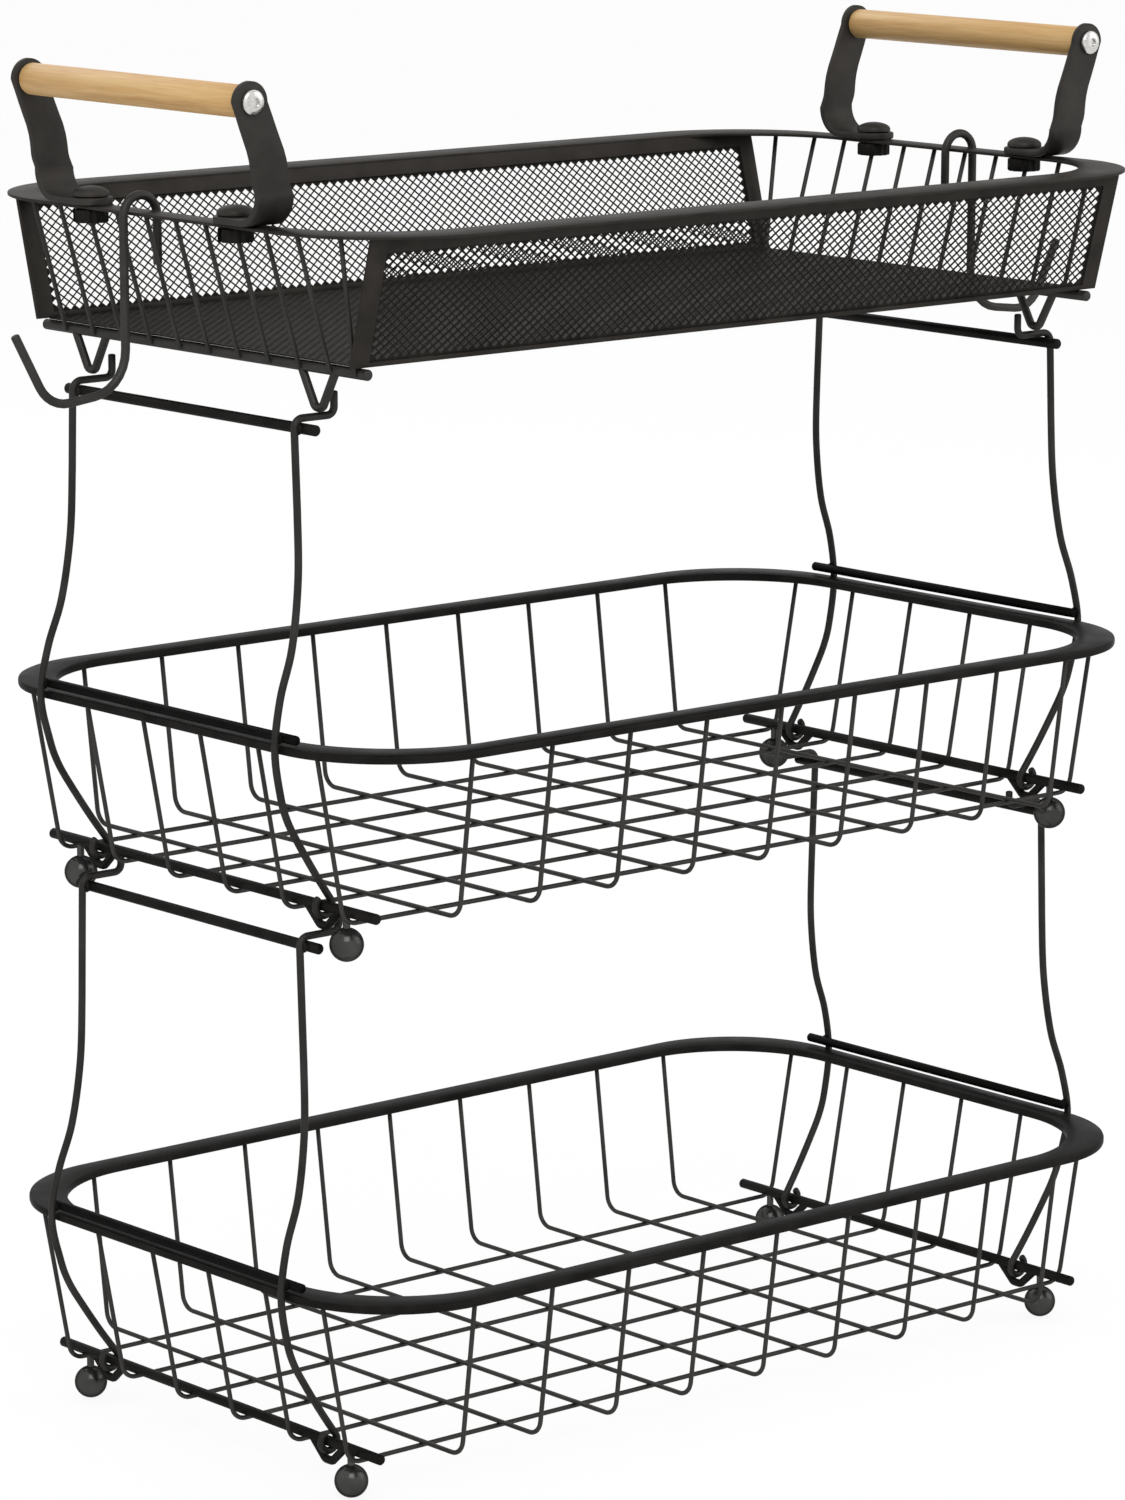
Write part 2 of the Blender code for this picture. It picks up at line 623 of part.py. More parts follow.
def diamond_net(half_x, low, high, columns, rows, plane):
    """A flat net of diamond gaps, staggered row by row, with a solid edge of half diamonds."""
    bm = bmesh.new()
    step_x = half_x / columns
    step_z = (high - low) / (2 * rows)
    strand_share = MESH_STRAND / 2 * hypot(step_x, step_z) / (step_x * step_z)
    gap_share = 1 - strand_share

    def lattice_point(i, j):
        x = -half_x + i * step_x
        z = low + j * step_z
        return Vector((x, 0, z)) if plane == "XZ" else Vector((x, z, 0))

    knots = {}
    for i in range(2 * columns + 1):
        for j in range(2 * rows + 1):
            if (i + j) % 2 == 0:
                knots[i, j] = bm.verts.new(lattice_point(i, j))
    faces = []
    for i in range(2 * columns + 1):
        for j in range(2 * rows + 1):
            if (i + j) % 2 == 0:
                continue
            around = [(i - 1, j), (i, j - 1), (i + 1, j), (i, j + 1)]
            rim = [knots[spot] for spot in around if spot in knots]
            if len(rim) < 4:
                faces.append(bm.faces.new(rim))
                continue
            centre = lattice_point(i, j)
            hole = [bm.verts.new(centre.lerp(knot.co, gap_share)) for knot in rim]
            for k in range(4):
                m = (k + 1) % 4
                faces.append(bm.faces.new((rim[k], rim[m], hole[m], hole[k])))
    up = (0, 1, 0) if plane == "XZ" else (0, 0, 1)
    add_plate(bm, faces, MESH_THICKNESS, up)
    return bm


def make_mesh_sides(basket):
    outer = rectangle(-SIDE_HALF_LENGTH, SIDE_HALF_LENGTH, 0, SIDE_LENGTH)
    net_half = SIDE_HALF_LENGTH - SIDE_POST_WIDTH
    net_low = SIDE_BOTTOM_BAND
    net_high = SIDE_LENGTH - SIDE_TOP_BAND
    inner = rectangle(-net_half, net_half, net_low, net_high)
    for face, face_sign in FACES:
        turn = (-SIDE_LEAN, 0, 0 if face == "far" else pi)
        foot = (0, face_sign * SIDE_FOOT_HALF_WIDTH, SIDE_FOOT_HEIGHT)
        frame_name = "top_side_frame_" + face
        frame = flat_ring(outer, inner, SIDE_FRAME_THICKNESS, (0, 1, 0))
        place(frame_name, finish_mesh(frame_name, frame, smooth=False), GREY_COAT, basket,
              foot, turn)
        net_name = "top_side_mesh_" + face
        net = diamond_net(net_half - GAP, net_low + GAP, net_high - GAP,
                          SIDE_COLUMN_COUNT, SIDE_ROW_COUNT, "XZ")
        place(net_name, finish_mesh(net_name, net, smooth=False), MESH_COAT, basket, foot, turn)


def make_mesh_floor(basket):
    net = diamond_net(FLOOR_HALF_LENGTH, -FLOOR_HALF_WIDTH, FLOOR_HALF_WIDTH,
                      FLOOR_COLUMN_COUNT, FLOOR_ROW_COUNT, "XY")
    height = RAIL_RADIUS + GAP + MESH_THICKNESS / 2
    place("top_floor_mesh", finish_mesh("top_floor_mesh", net, smooth=False), MESH_COAT,
          basket, location=(0, 0, height))


# Handles, in the frame of the top basket's end

def strap_sections():
    """Middle line of a strap on the +Y side: (y, z, normal in YZ, X middle, half width)."""
    foot_out = STRAP_FOOT_OUT - RAIL_OUT
    sections = []
    for k in range(STRAP_ROUND_STEPS):
        angle = pi / 2 * (k + 0.5) / STRAP_ROUND_STEPS
        y = CAP_Y - STRAP_HALF_WIDTH * cos(angle)
        width = STRAP_HALF_WIDTH * sin(angle)
        sections.append((y, STRAP_FOOT_HEIGHT, (0, 1), foot_out, width))
    bend_y = STRAP_MID_Y - STRAP_BEND_RADIUS
    bend_z = STRAP_FOOT_HEIGHT + STRAP_BEND_RADIUS
    for k in range(STRAP_BEND_STEPS + 1):
        angle = pi / 2 * k / STRAP_BEND_STEPS
        normal = (-sin(angle), cos(angle))
        y = bend_y + STRAP_BEND_RADIUS * sin(angle)
        z = bend_z - STRAP_BEND_RADIUS * cos(angle)
        sections.append((y, z, normal, foot_out, STRAP_HALF_WIDTH))
    for rise, out in zip(STRAP_RISE_SHARES, STRAP_LEAN_SHARES):
        z = TOP_RIM_TOP + rise * GRIP_HEIGHT
        width = STRAP_HALF_WIDTH + (STRAP_TOP_RADIUS - STRAP_HALF_WIDTH) * rise
        sections.append((STRAP_MID_Y, z, (-1, 0), foot_out + out * GRIP_LEAN, width))
    for k in range(1, STRAP_ROUND_STEPS + 1):
        angle = pi / 2 * (k - 0.3) / STRAP_ROUND_STEPS
        z = GRIP_Z + STRAP_TOP_RADIUS * sin(angle)
        width = STRAP_TOP_RADIUS * cos(angle)
        sections.append((STRAP_MID_Y, z, (-1, 0), foot_out + GRIP_LEAN, width))
    return sections


def strap_mesh(name, y_sign):
    rings = []
    for y, z, (normal_y, normal_z), middle, width in strap_sections():
        ring = []
        for x_side, n_side in ((-1, -1), (1, -1), (1, 1), (-1, 1)):
            shift = n_side * STRAP_THICKNESS / 2
            corner = Vector((middle + x_side * width, y + shift * normal_y, z + shift * normal_z))
            corner.y *= y_sign
            ring.append(corner)
        rings.append(ring)
    bm = bmesh.new()
    add_loft(bm, rings)
    return finish_mesh(name, bm)


def slotted_nut(nut_y):
    """A round nut under the rim, slotted from the outside for the end wire that passes it."""
    wire_y = min(end_wire_places(), key=lambda y: abs(y - nut_y)) - nut_y
    half_slot = WIRE_RADIUS + GAP
    wire_lean = (STRIP_MID_OUT - RAIL_OUT) / TOP_RIM_UNDERSIDE
    slot_end = STRIP_MID_OUT - STRAP_FOOT_OUT - NUT_HEIGHT * wire_lean - half_slot
    first = asin((wire_y + half_slot) / NUT_RADIUS)
    last = 2 * pi + asin((wire_y - half_slot) / NUT_RADIUS)
    outline = []
    for k in range(NUT_SIDES + 1):
        angle = first + (last - first) * k / NUT_SIDES
        outline.append((NUT_RADIUS * cos(angle), NUT_RADIUS * sin(angle), 0))
    outline.append((slot_end, wire_y - half_slot, 0))
    outline.append((slot_end, wire_y + half_slot, 0))
    bm = bmesh.new()
    face = bm.faces.new([bm.verts.new(point) for point in outline])
    add_plate(bm, [face], NUT_HEIGHT, (0, 0, 1))
    return bm


def make_strap(side, face, y_sign, end):
    spot = side + "_" + face
    place("strap_" + spot, strap_mesh("strap_" + spot, y_sign), BLACK_COAT, end)

    cap_z = STRAP_FOOT_HEIGHT + STRAP_THICKNESS / 2 + GAP
    cap = finish_mesh("strap_cap_" + spot, dome(CAP_RADIUS, CAP_HEIGHT))
    fixing = (STRAP_FOOT_OUT - RAIL_OUT, y_sign * CAP_Y)
    place("strap_cap_" + spot, cap, BLACK_COAT, end, location=(*fixing, cap_z))

    nut_z = TOP_RIM_UNDERSIDE - GAP - NUT_HEIGHT / 2
    nut = finish_mesh("strap_nut_" + spot, slotted_nut(y_sign * CAP_Y), smooth=False)
    place("strap_nut_" + spot, nut, BLACK_COAT, end, location=(*fixing, nut_z))

    head = finish_mesh("grip_screw_" + spot, dome(SCREW_RADIUS, SCREW_HEIGHT))
    seat = (GRIP_OUT - RAIL_OUT, y_sign * (STRAP_OUTER_Y + GAP), GRIP_Z)
    place("grip_screw_" + spot, head, BRIGHT_STEEL, end, location=seat,
          rotation=(-y_sign * pi / 2, 0, 0))


def make_grip(side, end):
    half = STRAP_INNER_Y - GAP
    narrow = GRIP_RADIUS - GRIP_EDGE
    profile = [(narrow, -half), (GRIP_RADIUS, GRIP_EDGE - half)]
    profile += [(GRIP_RADIUS, half - GRIP_EDGE), (narrow, half)]
    grip = finish_mesh("grip_" + side, turned(profile, GRIP_SIDES))
    place("grip_" + side, grip, WOOD, end, location=(GRIP_OUT - RAIL_OUT, 0, GRIP_Z),
          rotation=(pi / 2, 0, 0))


# Hanging hooks, in the frame of the top basket's end

def make_hook(side, end, y, inner_leg):
    name = "hook_" + side
    half_strip = RIM_STRIP_WIDTH / 2
    inside = HOOK_CROOK_RADIUS - HOOK_WIRE_RADIUS - GAP
    sink = sqrt(inside ** 2 - half_strip ** 2)
    middle = STRIP_MID_OUT - RAIL_OUT
    crook_z = TOP_RIM_TOP - sink
    path = [Vector((middle - HOOK_CROOK_RADIUS, y, crook_z - inner_leg))]
    for k in range(HOOK_CROOK_STEPS + 1):
        angle = pi * (1 - k / HOOK_CROOK_STEPS)
        out = middle + HOOK_CROOK_RADIUS * cos(angle)
        path.append(Vector((out, y, crook_z + HOOK_CROOK_RADIUS * sin(angle))))
    shank = middle + HOOK_CROOK_RADIUS
    corners = [
        path[-1],
        (shank, y, crook_z - HOOK_SHANK_DROP),
        (shank + HOOK_BOTTOM_OUT, y, crook_z - HOOK_BOTTOM_DROP),
        (shank + HOOK_TIP_OUT, y, crook_z - HOOK_TIP_DROP),
    ]
    path += rounded_path(corners, (HOOK_BEND_RADIUS, HOOK_TIP_BEND_RADIUS))[1:]
    bm = bmesh.new()
    add_tube(bm, path, HOOK_WIRE_RADIUS, UPRIGHT_SIDES, (0, 1, 0))
    place(name, finish_mesh(name, bm), BLACK_COAT, end)


def make_top_basket(basket, ends):
    make_rim("top_rim", GREY_COAT, basket, TOP_RIM_HEIGHT, TOP_RIM_THICKNESS,
             TOP_SIDE_STRIP_WIDTH, TOP_HOLE_CORNER_RADIUS)
    make_mesh_sides(basket)
    make_mesh_floor(basket)
    for (side, sign), share, leg in zip(SIDES, HOOK_PLACE_SHARES, HOOK_INNER_LEG):
        make_end_grille(side, ends[side])
        make_grip(side, ends[side])
        for face, face_sign in FACES:
            make_strap(side, face, sign * face_sign, ends[side])
        make_hook(side, ends[side], TOP_END_SHIFT - share * TOP_END_PITCH, leg)


# Assembly

def make_tier(tier, height):
    """An empty for a basket and one on each end rail's axis, its +X looking outward."""
    basket = make_empty(tier + "_basket", (0, 0, height))
    ends = {}
    for side, sign in SIDES:
        turn = 0 if side == "right" else pi
        ends[side] = make_empty(tier + "_end_axis_" + side, (sign * RAIL_OUT, 0, 0), turn, basket)
    return basket, ends


bottom, bottom_ends = make_tier("bottom", BOTTOM_RAIL_Z)
middle, middle_ends = make_tier("middle", MIDDLE_RAIL_Z)
top, top_ends = make_tier("top", TOP_RAIL_Z)

make_lower_basket("bottom", bottom, bottom_ends)
make_lower_basket("middle", middle, middle_ends)
make_top_basket(top, top_ends)
for frame_side, frame_sign in SIDES:
    make_frame("lower", frame_side, frame_sign, bottom_ends[frame_side],
               LOWER_SEAT_HEIGHT, LIP_RISE, LOWER_ROD_HALF_LENGTH)
    make_frame("upper", frame_side, frame_sign, middle_ends[frame_side],
               UPPER_SEAT_HEIGHT, TOP_LIP_RISE, UPPER_ROD_HALF_LENGTH)
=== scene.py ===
"""Looks of the tiered fruit basket: fine wires, rims, mesh, handles and hooks.

Every size is in metres. Left is -X, right is +X, near is -Y and far is +Y.
A piece of one end is drawn with +X outward, then turned there.
"""

import json
from math import asin, atan2, ceil, cos, hypot, pi, radians, sin, sqrt, tan

import bmesh
import bpy
from mathutils import Euler, Matrix, Quaternion, Vector

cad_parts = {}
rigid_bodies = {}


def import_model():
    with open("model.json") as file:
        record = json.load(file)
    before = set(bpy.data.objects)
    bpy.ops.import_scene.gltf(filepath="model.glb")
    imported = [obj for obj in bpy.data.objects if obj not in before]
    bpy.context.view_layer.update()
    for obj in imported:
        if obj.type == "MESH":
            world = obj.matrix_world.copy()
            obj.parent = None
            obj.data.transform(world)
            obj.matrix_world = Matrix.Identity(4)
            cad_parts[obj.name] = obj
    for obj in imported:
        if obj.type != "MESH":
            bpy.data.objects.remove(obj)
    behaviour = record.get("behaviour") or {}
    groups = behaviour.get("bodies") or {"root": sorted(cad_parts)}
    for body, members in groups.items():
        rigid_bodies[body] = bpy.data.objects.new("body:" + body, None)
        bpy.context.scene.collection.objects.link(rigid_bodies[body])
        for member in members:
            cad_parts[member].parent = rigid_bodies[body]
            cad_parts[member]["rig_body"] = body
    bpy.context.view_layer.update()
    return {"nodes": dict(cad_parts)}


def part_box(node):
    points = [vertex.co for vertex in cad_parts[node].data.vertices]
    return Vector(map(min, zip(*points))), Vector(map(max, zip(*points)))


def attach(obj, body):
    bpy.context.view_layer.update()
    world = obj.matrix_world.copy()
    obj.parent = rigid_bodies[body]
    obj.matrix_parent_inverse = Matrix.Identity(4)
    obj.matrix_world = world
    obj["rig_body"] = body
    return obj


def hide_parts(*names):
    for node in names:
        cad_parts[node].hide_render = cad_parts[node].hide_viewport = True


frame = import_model()


# Rims and the wires of the two lower baskets

GAP = 0.0003
RIM_HEIGHT = 0.060
TOP_RIM_HEIGHT = 0.049
RIM_STRIP_WIDTH = 0.0105
RIM_CORNER_RADIUS = 0.050
TOP_SIDE_STRIP_WIDTH = 0.01775
TOP_HOLE_CORNER_RADIUS = 0.045
RIM_EDGE_SHARE = 0.27
WIRE_RADIUS = 0.0009
WIRE_BEND_RADIUS = 0.0064
LENGTHWISE_WIRES = 6
CROSSWISE_WIRES = 9
OUTER_WIRE_INSET = 0.03625
END_CROSSWISE_INSET = 0.0512
LONG_WALL_LEAN = 0.008
END_WALL_OUTSET = 0.002
WIRE_CROSSING_DROP = 0.00141
WIRE_INTO_RIM = 0.0006

# End rails, feet and balls

RAIL_RADIUS = 0.002
RAIL_INSET = 0.022
RAIL_OVERHANG = 0.01275
TOP_RAIL_OVERHANG = 0.01025
FOOT_WIRE_RADIUS = 0.0016
FOOT_DEPTH = 0.0073
TOP_FOOT_DEPTH = 0.0142
FOOT_HALF_SPREAD = 0.010
FOOT_PLACE_SHARE = 0.53
FOOT_HALF_FLAT = 0.002
FOOT_BEND_RADIUS = 0.0025
BALL_RADIUS = 0.0063
BALL_OUTSET = 0.003
BALL_NECK_RADIUS = 0.0014

# Folding end frames

UPRIGHT_RADIUS = 0.0014
EYE_WRAP = radians(270)
EYE_LEAN = radians(35)
UPRIGHT_STRAIGHT_OFFSET = 0.010
# Along the rail, the uprights lie further out at the rim and further in at the hook
UPRIGHT_SPLAY = 0.0032
HOOK_INSET = 0.0016
BULGE_CLEARANCE = 0.0005
SWING_CLEARANCE = 0.0004
# Bulge of an upright round the rim: shares of the rim's height and of the bulge's way out
BULGE_RISE_SHARES = (0.20, 0.40, 0.56, 0.72, 1.0)
BULGE_OFFSET_SHARES = (0.17, 0.50, 0.735, 0.875, 1.0)
# Waist over it: shares of the rim's height and of the way from the straight part to the bulge
WAIST_RISE_SHARES = (1.30, 1.60, 2.0, 2.4)
WAIST_OFFSET_SHARES = (0.77, 0.32, 0.05, 0.0)
LIP_REACH = 0.008
LIP_RISE = 0.006
TOP_LIP_RISE = 0.0085
LIP_BEND_RADIUS = 0.003
BAR_RADIUS = 0.0018
BAR_OVERHANG = 0.0084
ROD_RADIUS = 0.002
ROD_OVERHANG = 0.0084
ROD_END_CLEARANCE = 0.001
WELD_BEAD_RADII = (0.0013, 0.0022, 0.0022)

# Top basket

TOP_END_WIRES = 11
TOP_END_PITCH_SHARE = 0.2035
TOP_END_SHIFT_SHARE = 0.4
SIDE_FOOT_INSET = 0.029
SIDE_FRAME_INSET = 0.016
SIDE_FRAME_THICKNESS = 0.002
SIDE_POST_WIDTH = 0.0075
SIDE_TOP_BAND = 0.0048
SIDE_BOTTOM_BAND = 0.002
SIDE_FRAME_EDGE = 0.0004
SIDE_INTO_RIM = 0.0009
SIDE_NET_PITCH = 0.0041
SIDE_NET_RISE = 0.0033
SIDE_NET_STRAND = 0.00036
FLOOR_NET_PITCH = 0.0048
FLOOR_NET_RISE = 0.0044
FLOOR_NET_STRAND = 0.0018
NET_THICKNESS = 0.0006
NET_FLOOR_LIFT = 0.0004
NET_FLOOR_INSET = 0.0005
END_FOOT_CLEARANCE = 0.0005

# Handles

GRIP_RADIUS = 0.00575
GRIP_EDGE = 0.0008
GRIP_HEIGHT = 0.0444
GRIP_LEAN = 0.0105
CAP_PLACE_SHARE = 0.5
STRAP_REACH = 0.022375
STRAP_THICKNESS = 0.0025
STRAP_EDGE = 0.0005
STRAP_HALF_WIDTH = 0.008
STRAP_TOP_RADIUS = 0.0073
STRAP_BEND_RADIUS = 0.010
STRAP_FOOT_INSET = 0.005
# Side view of a strap's post: shares of the grip's height and of its lean outward
STRAP_RISE_SHARES = (0.27, 0.30, 0.34, 0.38, 0.43, 0.48, 0.54, 0.62, 0.70, 0.80, 0.90, 1.0)
STRAP_LEAN_SHARES = (0.01, 0.06, 0.13, 0.17, 0.19, 0.215, 0.26, 0.36, 0.50, 0.67, 0.83, 1.0)
CAP_RADIUS = 0.0067
CAP_HEIGHT = 0.0037
CAP_EDGE_SHARE = 0.25
# The foot of a cap: shares of its radius and of its height
CAP_FOOT_SHARES = (0.95, 0.06)
NUT_RADIUS = 0.0065
NUT_HEIGHT = 0.0048
NUT_EDGE = 0.0005
NUT_RIBS = 12
NUT_RIB_DEPTH = 0.0006
SCREW_RADIUS = 0.0045
SCREW_HEIGHT = 0.0024
SCREW_EDGE_SHARE = 0.35
SCREW_SOCKET_RADIUS = 0.0017
SCREW_SOCKET_DEPTH = 0.0009
SCREW_LAND_SHARE = 1.15
SCREW_SOCKET_FLOOR_SHARE = 0.92

# Hanging hooks

HOOK_WIRE_RADIUS = 0.00165
HOOK_CROOK_RADIUS = 0.0075
# For the left hook and for the right one
HOOK_INNER_LEGS = (0.018, 0.013)
HOOK_PLACE_SHARES = (1.175, 0.775)
HOOK_SHANK_DROP = 0.0615
HOOK_BOTTOM_DROP = 0.0655
HOOK_BOTTOM_OUT = 0.034
HOOK_TIP_OUT = 0.0485
HOOK_TIP_DROP = 0.0385
HOOK_BEND_RADIUS = 0.016
HOOK_TIP_BEND_RADIUS = 0.013

# How finely round shapes are drawn

TUBE_SIDES = 14
WIRE_SIDES = 10
TURNED_SIDES = 48
BALL_RINGS = 24
BEAD_SIDES = 16
BEAD_RINGS = 10
BEND_STEP = radians(12)
CURVE_STEPS = 7
CORNER_STEPS = 26
STRAP_ROUND_STEPS = 12
STRAP_BEND_STEPS = 10
DOME_STEPS = 8
NUT_STEPS = 96
SMOOTH_ANGLE = radians(38)

# Shapes of edges: shares of the edge's size or of the wire's radius
EDGE_PROFILE_SHARES = ((1.0, 0.0), (0.3, 0.3), (0.0, 1.0))
TIP_PROFILE_SHARES = ((0.0, 0.60), (0.10, 0.85), (0.30, 1.0))

SIDES = (("left", -1), ("right", 1))
FACES = (("near", -1), ("far", 1))


# Sizes that follow

def middle_height(node):
    low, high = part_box(node)
    return (low.z + high.z) / 2


RIM_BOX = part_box("bottom_rim")
RIM_HALF_LENGTH = RIM_BOX[1].x
RIM_HALF_WIDTH = RIM_BOX[1].y
RAIL_OUT = RIM_HALF_LENGTH - RAIL_INSET
RAIL_Z = {
    "bottom": middle_height("bottom_rim") - RIM_HEIGHT,
    "middle": middle_height("middle_rim") - RIM_HEIGHT,
    "top": middle_height("top_rim") - TOP_RIM_HEIGHT,
}
RIM_THICKNESS = RIM_BOX[1].z - RIM_BOX[0].z
TOP_RIM_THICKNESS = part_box("top_rim")[1].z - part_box("top_rim")[0].z

OUTER_WIRE_Y = RIM_HALF_WIDTH - OUTER_WIRE_INSET
TOP_END_PITCH = TOP_END_PITCH_SHARE * OUTER_WIRE_Y
TOP_END_SHIFT = TOP_END_SHIFT_SHARE * TOP_END_PITCH
LENGTHWISE_PITCH = 2 * OUTER_WIRE_Y / (LENGTHWISE_WIRES - 1)
CROSSWISE_PITCH = 2 * (RIM_HALF_LENGTH - END_CROSSWISE_INSET) / (CROSSWISE_WIRES - 1)
FOOT_Y = OUTER_WIRE_Y - FOOT_PLACE_SHARE * LENGTHWISE_PITCH
STRIP_MID_OUT = RIM_HALF_LENGTH - RIM_STRIP_WIDTH / 2
STRIP_MID_Y = RIM_HALF_WIDTH - RIM_STRIP_WIDTH / 2
LENGTHWISE_DROP = RAIL_RADIUS + GAP + WIRE_RADIUS
CROSSWISE_DROP = LENGTHWISE_DROP - WIRE_CROSSING_DROP

BALL_Y = FOOT_Y + FOOT_HALF_SPREAD + BALL_OUTSET
BALL_DROP = RAIL_Z["bottom"] - BALL_RADIUS

BULGE_OFFSET = RIM_HALF_LENGTH - RAIL_OUT + UPRIGHT_RADIUS + BULGE_CLEARANCE
EYE_RADIUS = RAIL_RADIUS + GAP + UPRIGHT_RADIUS
ROD_OFFSET = UPRIGHT_STRAIGHT_OFFSET - UPRIGHT_RADIUS - GAP - ROD_RADIUS
HOOK_SEAT_BEND = UPRIGHT_RADIUS + GAP + ROD_RADIUS
SEAT_DROP = FOOT_WIRE_RADIUS + GAP + UPRIGHT_RADIUS
LOWER_SEAT_HEIGHT = RAIL_Z["middle"] - RAIL_Z["bottom"] - FOOT_DEPTH - SEAT_DROP
UPPER_SEAT_HEIGHT = RAIL_Z["top"] - RAIL_Z["middle"] - TOP_FOOT_DEPTH - SEAT_DROP
HOOK_Y = FOOT_Y - HOOK_INSET
LOWER_ROD_HALF_LENGTH = BALL_Y - BALL_RADIUS - ROD_END_CLEARANCE
UPPER_ROD_HALF_LENGTH = HOOK_Y + ROD_OVERHANG
BAR_WELD_Y = FOOT_Y + UPRIGHT_SPLAY
BAR_HALF_LENGTH = BAR_WELD_Y + (BAR_OVERHANG + UPRIGHT_RADIUS) / 2
BAR_MIDDLE = (BAR_OVERHANG - UPRIGHT_RADIUS) / 2
BAR_OFFSET = BULGE_OFFSET - UPRIGHT_RADIUS - BAR_RADIUS - GAP
RIM_EDGE_REACH = hypot(RIM_HALF_LENGTH - RAIL_OUT, RIM_HEIGHT + RIM_THICKNESS / 2)
BAR_REACH = RIM_EDGE_REACH + SWING_CLEARANCE + BAR_RADIUS
BAR_HEIGHT = sqrt(BAR_REACH ** 2 - BAR_OFFSET ** 2)

SIDE_HALF_LENGTH = RIM_HALF_LENGTH - SIDE_FRAME_INSET
SIDE_FOOT_HALF_WIDTH = RIM_HALF_WIDTH - SIDE_FOOT_INSET
SIDE_TOP_HALF_WIDTH = RIM_HALF_WIDTH - TOP_SIDE_STRIP_WIDTH + SIDE_FRAME_THICKNESS / 2
TOP_RIM_UNDERSIDE = TOP_RIM_HEIGHT - TOP_RIM_THICKNESS / 2
TOP_RIM_TOP = TOP_RIM_HEIGHT + TOP_RIM_THICKNESS / 2
SIDE_LEAN = atan2(SIDE_TOP_HALF_WIDTH - SIDE_FOOT_HALF_WIDTH, TOP_RIM_UNDERSIDE - RAIL_RADIUS)
SIDE_CORNER_RISE = SIDE_FRAME_THICKNESS / 2 * sin(SIDE_LEAN)
SIDE_FOOT_HEIGHT = RAIL_RADIUS + GAP + SIDE_CORNER_RISE
SIDE_HEAD_HEIGHT = TOP_RIM_UNDERSIDE - GAP - SIDE_CORNER_RISE
SIDE_LENGTH = (SIDE_HEAD_HEIGHT - SIDE_FOOT_HEIGHT) / cos(SIDE_LEAN)
FLOOR_HALF_WIDTH = SIDE_FOOT_HALF_WIDTH - SIDE_FRAME_THICKNESS / 2 * cos(SIDE_LEAN) - GAP
FLOOR_HALF_LENGTH = RAIL_OUT + RAIL_RADIUS - NET_FLOOR_INSET
SIDE_INNER_HALF_WIDTH = SIDE_FOOT_HALF_WIDTH - SIDE_FRAME_THICKNESS / 2
END_FOOT_LIMIT = SIDE_INNER_HALF_WIDTH - WIRE_RADIUS - END_FOOT_CLEARANCE

STRAP_FOOT_OUT = RIM_HALF_LENGTH - STRAP_FOOT_INSET
GRIP_OUT = STRAP_FOOT_OUT + GRIP_LEAN
STRAP_FOOT_HEIGHT = TOP_RIM_TOP + GAP + STRAP_THICKNESS / 2
CAP_Y = OUTER_WIRE_Y * CAP_PLACE_SHARE
STRAP_MID_Y = CAP_Y + STRAP_REACH
STRAP_INNER_Y = STRAP_MID_Y - STRAP_THICKNESS / 2
STRAP_OUTER_Y = STRAP_MID_Y + STRAP_THICKNESS / 2
GRIP_Z = TOP_RIM_TOP + GRIP_HEIGHT


# Materials

# The part of a noise's range, 0 to 1, that nearly all of its values lie in
NOISE_LOW = 0.3
NOISE_HIGH = 0.7

# Coats of paint: colours and roughness of their patches, how metallic they are, how strongly
# they shine, and how bright the shine is where the surface turns away. The wire coat is the
# black coat lightened with painted sheen; the bar coat (the black coat) and the upright coat
# (the wire coat) are darkened with painted shade
COATS = {
    "black_coat": {
        "dark": (0.0105, 0.0100, 0.0094), "light": (0.0215, 0.0205, 0.0195),
        "roughness": (0.36, 0.50), "metallic": 0.45, "shine": 0.05, "edge": 0.36,
    },
    # Painted shade: the bars' black coat made darker, as if the bars lay in shade
    "bar_coat_painted_shade": {
        "dark": (0.0050, 0.0048, 0.0046), "light": (0.0100, 0.0096, 0.0092),
        "roughness": (0.40, 0.52), "metallic": 0.45, "shine": 0.04, "edge": 0.25,
    },
    # Painted sheen: the black coat made lighter for the thin wires, feet and hooks, standing in
    # for their highlights
    "wire_coat_painted_sheen": {
        "dark": (0.040, 0.039, 0.037), "light": (0.062, 0.060, 0.057),
        "roughness": (0.36, 0.48), "metallic": 0.5, "shine": 0.06, "edge": 0.45,
    },
    # Painted shade: the wire coat made darker for the uprights, as if they lay in shade
    "upright_coat_painted_shade": {
        "dark": (0.028, 0.0272, 0.026), "light": (0.046, 0.0445, 0.0425),
        "roughness": (0.34, 0.46), "metallic": 0.5, "shine": 0.06, "edge": 0.40,
    },
    "strap_coat": {
        "dark": (0.039, 0.0362, 0.0333), "light": (0.059, 0.0545, 0.0505),
        "roughness": (0.40, 0.52), "metallic": 0.45, "shine": 0.06, "edge": 0.45,
    },
    "grey_coat": {
        "dark": (0.026, 0.0235, 0.021), "light": (0.044, 0.0395, 0.0355),
        "roughness": (0.40, 0.52), "metallic": 0.5, "shine": 0.07, "edge": 0.42,
    },
    "mesh_coat": {
        "dark": (0.017, 0.0155, 0.0135), "light": (0.029, 0.0265, 0.0235),
        "roughness": (0.50, 0.62), "metallic": 0.35, "shine": 0.04, "edge": 0.40,
    },
}
PATCH_SCALE = 70
PATCH_DETAIL = 4
PEEL_SCALE = 620
PEEL_DETAIL = 2
PEEL_HEIGHT = 0.00006
PEEL_STRENGTH = 0.35
GRIT_SCALE = 2600
GRIT_DETAIL = 1
GRIT_HEIGHT = PEEL_HEIGHT / 4
GRIT_STRENGTH = PEEL_STRENGTH / 2

